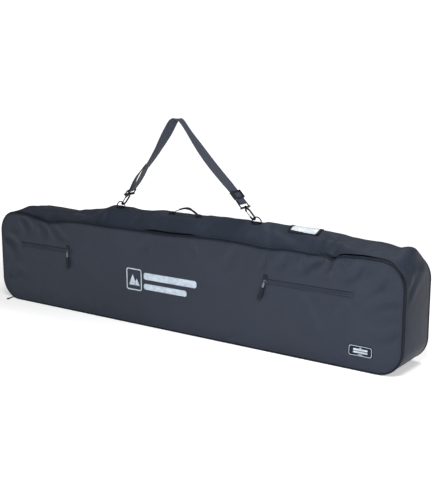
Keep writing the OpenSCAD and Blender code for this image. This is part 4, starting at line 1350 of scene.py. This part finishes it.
def box_stitch(name, low, high, z, body):
    """A box of stitches round a sewn tab, just inside its edges."""
    x0, x1, y0, y1 = low[0] + 0.0018, high[0] - 0.0018, low[1] + 0.0018, high[1] - 0.0018
    corners = [(x0, y0), (x1, y0), (x1, y1), (x0, y1), (x0, y0)]
    pts_ = resampled([(a, b, z) for a, b in corners], 0.002)
    return stitch_line(name, pts_, tiled([0, 0, 1], len(pts_)), body, pitch=0.0032, length=0.0024,
                       width=0.0007)


for side in ("left", "right"):
    node = f"ring_tab_{side}"
    low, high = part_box(node)
    rlow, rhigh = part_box(f"ring_{side}")
    bar_z = rlow[2] + (rhigh[1] - rlow[1]) / 2
    bar_r = (rhigh[1] - rlow[1]) / 2
    plate_low = (low[0], low[1], low[2] - 0.003)
    plate_high = (high[0], high[1], low[2] + 0.0024)
    plate = block(f"{node}_base", plate_low, plate_high, WEBBING)
    # the webbing goes over the ring's bar and down on both sides
    r = bar_r + 0.0010
    arc = [(-0.0105, low[2] + 0.0028), (-0.0070, low[2] + 0.0032), (-r - 0.0006, bar_z - 0.0012)]
    arc += [(r * math.cos(a), bar_z + r * math.sin(a)) for a in np.radians(np.linspace(170, 10, 9))]
    arc += [(r + 0.0006, bar_z - 0.0012), (0.0070, low[2] + 0.0032), (0.0105, low[2] + 0.0028)]
    line = np.array([((low[0] + high[0]) / 2, y, z) for y, z in arc])
    tangent = frames_along(line)
    side_v = tiled([1, 0, 0], len(line))
    loop = swept(f"{node}_loop", line, side_v, np.cross(side_v, tangent),
                 strap_profile(high[0] - low[0] - 0.001, 0.0017, 7), WEBBING)
    tab = joined(f"{node}_webbing", [plate, loop])
    attach(tab, "bag", "webbing", node)
    box_stitch(f"{node}_stitch", low, high, low[2] + 0.0029, "bag")

    node = f"handle_anchor_{side}"
    low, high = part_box(node)
    pad = block(f"{node}_base", (low[0], low[1], low[2] - 0.003), (high[0], high[1], low[2] + 0.0036),
                WEBBING)
    knuckle = block(f"{node}_fold", (low[0] + 0.001, -0.0078, low[2] + 0.001),
                    (high[0] - 0.001, 0.0078, high[2] - 0.0006),
                    WEBBING, rounding=0.0022, bulge=0.0006)
    tab = joined(f"{node}_webbing", [pad, knuckle])
    attach(tab, "bag", "webbing", node)
    box_stitch(f"{node}_stitch", low, high, low[2] + 0.0041, "bag")

hlow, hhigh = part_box("handle_webbing")
glow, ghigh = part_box("handle_grip")
steps_ = np.linspace(0, 1, 61)
hx = lerp(hlow[0], hhigh[0], steps_)
hinge_z = [j for j in frame["joints"] if j["name"] == "handle_fold"][0]["pos_m"][2]
hz = hinge_z + (hhigh[2] - 0.0010 - hinge_z) * np.sin(math.pi * steps_ ** 1.2)
line = np.stack([hx, np.zeros(len(hx)), hz], 1)
tangent = frames_along(line)
side_v = tiled([0, 1, 0], len(line))
out_v = np.cross(tangent, side_v)
handle = swept("handle_web", line, side_v, out_v, strap_profile(hhigh[1] - hlow[1], 0.0019, 5), WEBBING)
attach(handle, "handle", "webbing", "handle_webbing")
inside = (hx > glow[0]) & (hx < ghigh[0])
gl, gs, go = line[inside], side_v[inside], out_v[inside]
taper = 1 - 0.35 * (np.abs(np.linspace(-1, 1, len(gl))) ** 6)
half_w, half_t = (ghigh[1] - glow[1]) / 2, 0.0030
prof = [(half_w * math.copysign(abs(math.cos(a)) ** 0.55, math.cos(a)),
         half_t * math.copysign(abs(math.sin(a)) ** 0.8, math.sin(a)))
        for a in np.linspace(0, 2 * math.pi, 20, endpoint=False)]
grip = swept("handle_grip_fold", gl, gs * taper[:, None], go * taper[:, None], prof, BINDING)
attach(grip, "handle", "webbing", "handle_grip")
for k, off in enumerate((-0.75, 0.75)):
    row = gl + gs * (half_w * off) + go * (half_t * 0.93)
    stitch_line(f"grip_stitch_{k}", row[2:-2], go[2:-2], "handle", pitch=0.0042, length=0.0026, width=0.0007)

# ---------------------------------------------------------------- shoulder strap

joints = {j["name"]: j for j in frame["joints"]}
slow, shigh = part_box("strap_webbing")
WEB_W = shigh[1] - slow[1]
WEB_T = 0.0019
EYE_TO_ROD = 0.020
left_joint, right_joint = joints["left_hook_swivel"], joints["right_hook_swivel"]
up_left = np.array(left_joint["axis"])
up_right = np.array(right_joint["axis"])
eye_left, eye_right = np.array(left_joint["pos_m"]), np.array(right_joint["pos_m"])
rod_left = eye_left + up_left * EYE_TO_ROD
rod_right = eye_right + up_right * EYE_TO_ROD
out_left = np.array([-up_left[2], 0, up_left[0]])     # away from under the strap, on the left
out_right = np.array([up_right[2], 0, -up_right[0]])  # and on the right


def cross_point(p, d, q, e):
    """Where two lines in the strap's plane meet."""
    m_ = np.array([[d[0], -e[0]], [d[2], -e[2]]])
    t = np.linalg.solve(m_, np.array([q[0] - p[0], q[2] - p[2]]))
    return p + d * t[0]


peak = cross_point(rod_left, up_left, rod_right, up_right)
SPLIT = 0.120


def smooth_curve(points, count):
    """Catmull-Rom curve through points."""
    p = np.asarray(points, float)
    p = np.vstack([2 * p[0] - p[1], p, 2 * p[-1] - p[-2]])
    out = []
    per = max(2, count // (len(p) - 3))
    for i in range(1, len(p) - 2):
        for t in np.arange(per) / per:
            a, b, c, d = p[i - 1], p[i], p[i + 1], p[i + 2]
            out.append(0.5 * ((2 * b) + (c - a) * t + (2 * a - 5 * b + 4 * c - d) * t ** 2
                              + (3 * b - a - 3 * c + d) * t ** 3))
    out.append(p[-2])
    return np.array(out)


def turned(vectors, axes, degrees):
    """Each vector turned about its axis."""
    a = np.radians(degrees)[:, None]
    return vectors * np.cos(a) + np.cross(axes, vectors) * np.sin(a) + axes * (axes * vectors).sum(1,
        keepdims=True) * (1 - np.cos(a))


def webbing_run(name, line, twist, bow=0.0):
    """Webbing along a line in the strap's plane, turned about itself by twist degrees."""
    tangent_ = frames_along(line)
    side_ = tiled([0, 1, 0], len(line))
    side_ = side_ - tangent_ * (tangent_ * side_).sum(1, keepdims=True)
    side_ /= np.linalg.norm(side_, axis=1, keepdims=True)
    side_ = turned(side_, tangent_, twist)
    normal_ = np.cross(side_, tangent_)
    prof_ = [(s, t + bow * (1 - (2 * s / WEB_W) ** 2)) for s, t in strap_profile(WEB_W, WEB_T, 11)]
    return swept(name, line, side_, normal_, prof_, STRAP)


left_len = np.linalg.norm(peak - rod_left)
right_len = np.linalg.norm(peak - rod_right)
wrap = 0.0035
# from the left loop's end, up the left leg, over the top and down to the right eye
round_top = [peak - up_left * 0.030, peak - up_left * 0.012 + np.array([0.0022, 0, 0]) + np.array([0, 0,
    -0.0035]),
             peak + np.array([0.000, 0, -0.0120]),
             peak - up_right * 0.012 + np.array([-0.0022, 0, 0]) + np.array([0, 0, -0.0035]),
                 peak - up_right * 0.030]
SAG = 0.0065
def leg_point(rod, up, inward, t, length):
    """A point on a leg of the strap, which hangs slightly slack."""
    return rod + up * t + inward * SAG * math.sin(math.pi * min(1, max(0, t / length))) ** 2


main_pts = [leg_point(rod_left, up_left, -out_left, t, left_len) for t in np.linspace(SPLIT - 0.012,
    left_len - 0.07, 6)]
main_pts += round_top
main_pts += [leg_point(rod_right, up_right, -out_right, right_len - t,
                       right_len) + out_right * wrap * (t / right_len) ** 4
             for t in np.linspace(0.07, right_len - 0.03, 7)]
main_pts += [rod_right + up_right * 0.010 + out_right * wrap, rod_right + out_right * wrap]
line = smooth_curve(main_pts, 130)
run_s = length_along(line)
top_at = run_s[np.argmax(line[:, 2])]
# the webbing is nearly edge-on at the loop, turns its underside out towards the top and its face out on the right
twist = np.interp(run_s, [0, 0.05, 0.12, top_at - 0.11, top_at - 0.045, top_at - 0.018, top_at,
                          top_at + 0.02, top_at + 0.045,
                          top_at + 0.07, top_at + 0.10, top_at + 0.18, run_s[-1] - 0.06, run_s[-1] - 0.012,
                              run_s[-1]],
                  [12, 2, -9, -18, -23, -14, 0, -6, -13, -8, 4, 14, 13, 0, 0])
twist = np.convolve(np.pad(twist, 5, mode="edge"), np.ones(11) / 11, "valid")
strap_main = webbing_run("strap_main_part", line, twist, bow=0.0010)
# the loose double loop through the left hook's eye
loop = [rod_left + up_left * (SPLIT + 0.004) + out_left * 0.0016]
loop += [rod_left + up_left * t + out_left * w for t, w in
         ((SPLIT * 0.78, 0.0060), (SPLIT * 0.55, 0.0098), (SPLIT * 0.32, 0.0090), (SPLIT * 0.12, 0.0052))]
loop += [rod_left + up_left * 0.0034 * math.sin(a) + out_left * 0.0034 * math.cos(a)
         for a in np.radians([-10, -50, -90, -130, -170])]
loop += [rod_left + up_left * t - out_left * w for t, w in
         ((SPLIT * 0.12, 0.0046), (SPLIT * 0.32, 0.0066), (SPLIT * 0.55, 0.0064), (SPLIT * 0.78, 0.0040))]
loop += [rod_left + up_left * (SPLIT + 0.004) - out_left * 0.0016]
line = smooth_curve(loop, 90)
s_ = np.linspace(0, 1, len(line))
strap_loop = webbing_run("strap_loop_part", line, np.interp(s_, [0, 0.1, 0.40, 0.5, 0.60, 0.9, 1],
    [-18, -22, -15, 0, 9, 10, 12]),
                         bow=0.0)
# the turn round the right hook's eye
arc = [rod_right + up_right * wrap * math.sin(a) + out_right * wrap * math.cos(a) for a in np.radians([0,
    -30, -60, -90, -120, -150, -180])]
right_turn = webbing_run("strap_turn_part", np.array(arc), np.zeros(len(arc)))
strap = joined("strap_web", [strap_main, strap_loop, right_turn])
attach(strap, "strap", "strap_webbing", "strap_webbing")
# sewn box where the left loop is closed
for k, off in enumerate((-0.4, 0.4)):
    base_p = rod_left + up_left * (SPLIT + 0.002)
    row = np.array([base_p + up_left * t + np.array([0, off * WEB_W,
                                                     0]) + out_left * -0.0024 for t in np.linspace(0, 0.028,
                                                         12)])
    stitch_line(f"strap_stitch_{k}", row, tiled(-out_left, len(row)), "strap", pitch=0.004, length=0.0028,
                width=0.0009)

alow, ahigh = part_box("strap_adjuster")
adjuster_mid = np.array([(alow[0] + ahigh[0]) / 2, 0, (alow[2] + ahigh[2]) / 2])
reach = float(np.dot(adjuster_mid - rod_right, up_right))
ret = [rod_right - out_right * wrap, rod_right + up_right * reach * 0.2 - out_right * wrap,
       rod_right + up_right * reach * 0.4 - out_right * 0.0030,
           rod_right + up_right * (reach - 0.014) - out_right * 0.0018]
line = smooth_curve(ret, 24)
strap_back = webbing_run("strap_return_web", line, np.zeros(len(line)))
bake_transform(strap_back)
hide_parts("strap_return")

# ---------------------------------------------------------------- metal and moulded pieces keep their CAD shapes

LOOKS = {DARK_METAL: ["ring_left", "ring_right", "hook_left", "hook_right", "hook_eye_left", "hook_eye_right",
                      "main_slider", "main_puller"],
         BRIGHT_METAL: ["left_slider", "left_puller", "right_slider", "right_puller", "gate_left",
                        "gate_right"],
         DARK_PLASTIC: ["strap_adjuster"],
         RUBBER: ["left_pull_tab", "right_pull_tab", "main_pull_tab"]}
for material, names in LOOKS.items():
    for n in names:
        obj = frame["nodes"][n]
        obj.data.materials.clear()
        obj.data.materials.append(material)
for n, obj in frame["nodes"].items():
    if not obj.hide_render and obj.data.materials and obj.data.materials[0] not in LOOKS:
        print("unfinished CAD node shows:", n)

# ---------------------------------------------------------------- floor, light and camera

def floor_material():
    mat, tree, shader = new_material("glowing_paper_floor")
    coords = tree.nodes.new("ShaderNodeTexCoord")
    grain = noise_node(tree, coords.outputs["Object"], 3.0, 3.0)
    tree.links.new(ramp_node(tree, grain, (0.93, 0.93, 0.935), (0.96, 0.96, 0.962)),
                   shader.inputs["Base Color"])
    shader.inputs["Roughness"].default_value = 0.9
    shader.inputs["Emission Color"].default_value = (1, 1, 1, 1)
    # painted glow: the floor emits light of its own, more strongly away from the bag, so the far floor reads
    # white while the floor near the bag glows less
    away = tree.nodes.new("ShaderNodeVectorMath")
    away.operation = "LENGTH"
    tree.links.new(coords.outputs["Object"], away.inputs[0])
    glow = tree.nodes.new("ShaderNodeMapRange")
    glow.interpolation_type = "SMOOTHSTEP"
    for socket, value in (("From Min", 1.3), ("From Max", 3.0), ("To Min", 0.50), ("To Max", 0.95)):
        glow.inputs[socket].default_value = value
    tree.links.new(away.outputs["Value"], glow.inputs["Value"])
    tree.links.new(glow.outputs["Result"], shader.inputs["Emission Strength"])
    return mat


floor = mesh_object("studio_floor", [(-30, -30, -0.0005), (30, -30, -0.0005), (30, 30, -0.0005),
                                     (-30, 30, -0.0005)],
                    [(0, 1, 2, 3)], floor_material(), flat=True)


def area_light(name, place, target, size, power):
    data = bpy.data.lights.new(name, "AREA")
    data.shape = "RECTANGLE"
    data.size, data.size_y = size
    data.energy = power
    obj = bpy.data.objects.new(name, data)
    obj.location = place
    obj.rotation_euler = (Vector(target) - Vector(place)).to_track_quat("-Z", "Y").to_euler()
    bpy.context.scene.collection.objects.link(obj)
    return obj


world = bpy.data.worlds.new("studio")
bpy.context.scene.world = world
world.use_nodes = True
sky = world.node_tree
seen = sky.nodes.new("ShaderNodeBackground")
seen.inputs["Strength"].default_value = 1.05
lights = sky.nodes["Background"]
lights.inputs["Color"].default_value = (0.97, 0.985, 1.0, 1)
lights.inputs["Strength"].default_value = 0.16
seen.inputs["Color"].default_value = (1, 1, 1, 1)
path = sky.nodes.new("ShaderNodeLightPath")
mix = sky.nodes.new("ShaderNodeMixShader")
sky.links.new(path.outputs["Is Camera Ray"], mix.inputs[0])
sky.links.new(lights.outputs[0], mix.inputs[1])
sky.links.new(seen.outputs[0], mix.inputs[2])
sky.links.new(mix.outputs[0], sky.nodes["World Output"].inputs["Surface"])
area_light("key", (1.05, -1.35, 1.55), (0.6, 0, 0.25), (0.8, 0.6), 36)
area_light("fill", (-2.4, -2.8, 1.6), (-0.3, 0, 0.2), (2.0, 1.4), 2)
area_light("top", (0.6, 1.0, 2.8), (0.1, 0, 0.3), (2.4, 1.0), 34)
bpy.context.scene.view_settings.view_transform = "Standard"
bpy.context.scene.view_settings.look = "None"

camera_data = bpy.data.cameras.new("photo_view")
camera_data.sensor_width = 36
camera_data.lens = 66.34
camera = bpy.data.objects.new("photo_view", camera_data)
azimuth, elevation = math.radians(34.97), math.radians(11.66)
camera.location = (1.813, -2.426, 0.899)
forward = Vector((-math.sin(azimuth) * math.cos(elevation), math.cos(azimuth) * math.cos(elevation),
                  -math.sin(elevation)))
camera.rotation_euler = forward.to_track_quat("-Z", "Y").to_euler()
camera_data.clip_start, camera_data.clip_end = 0.05, 100
bpy.context.scene.collection.objects.link(camera)
bpy.context.scene.camera = camera
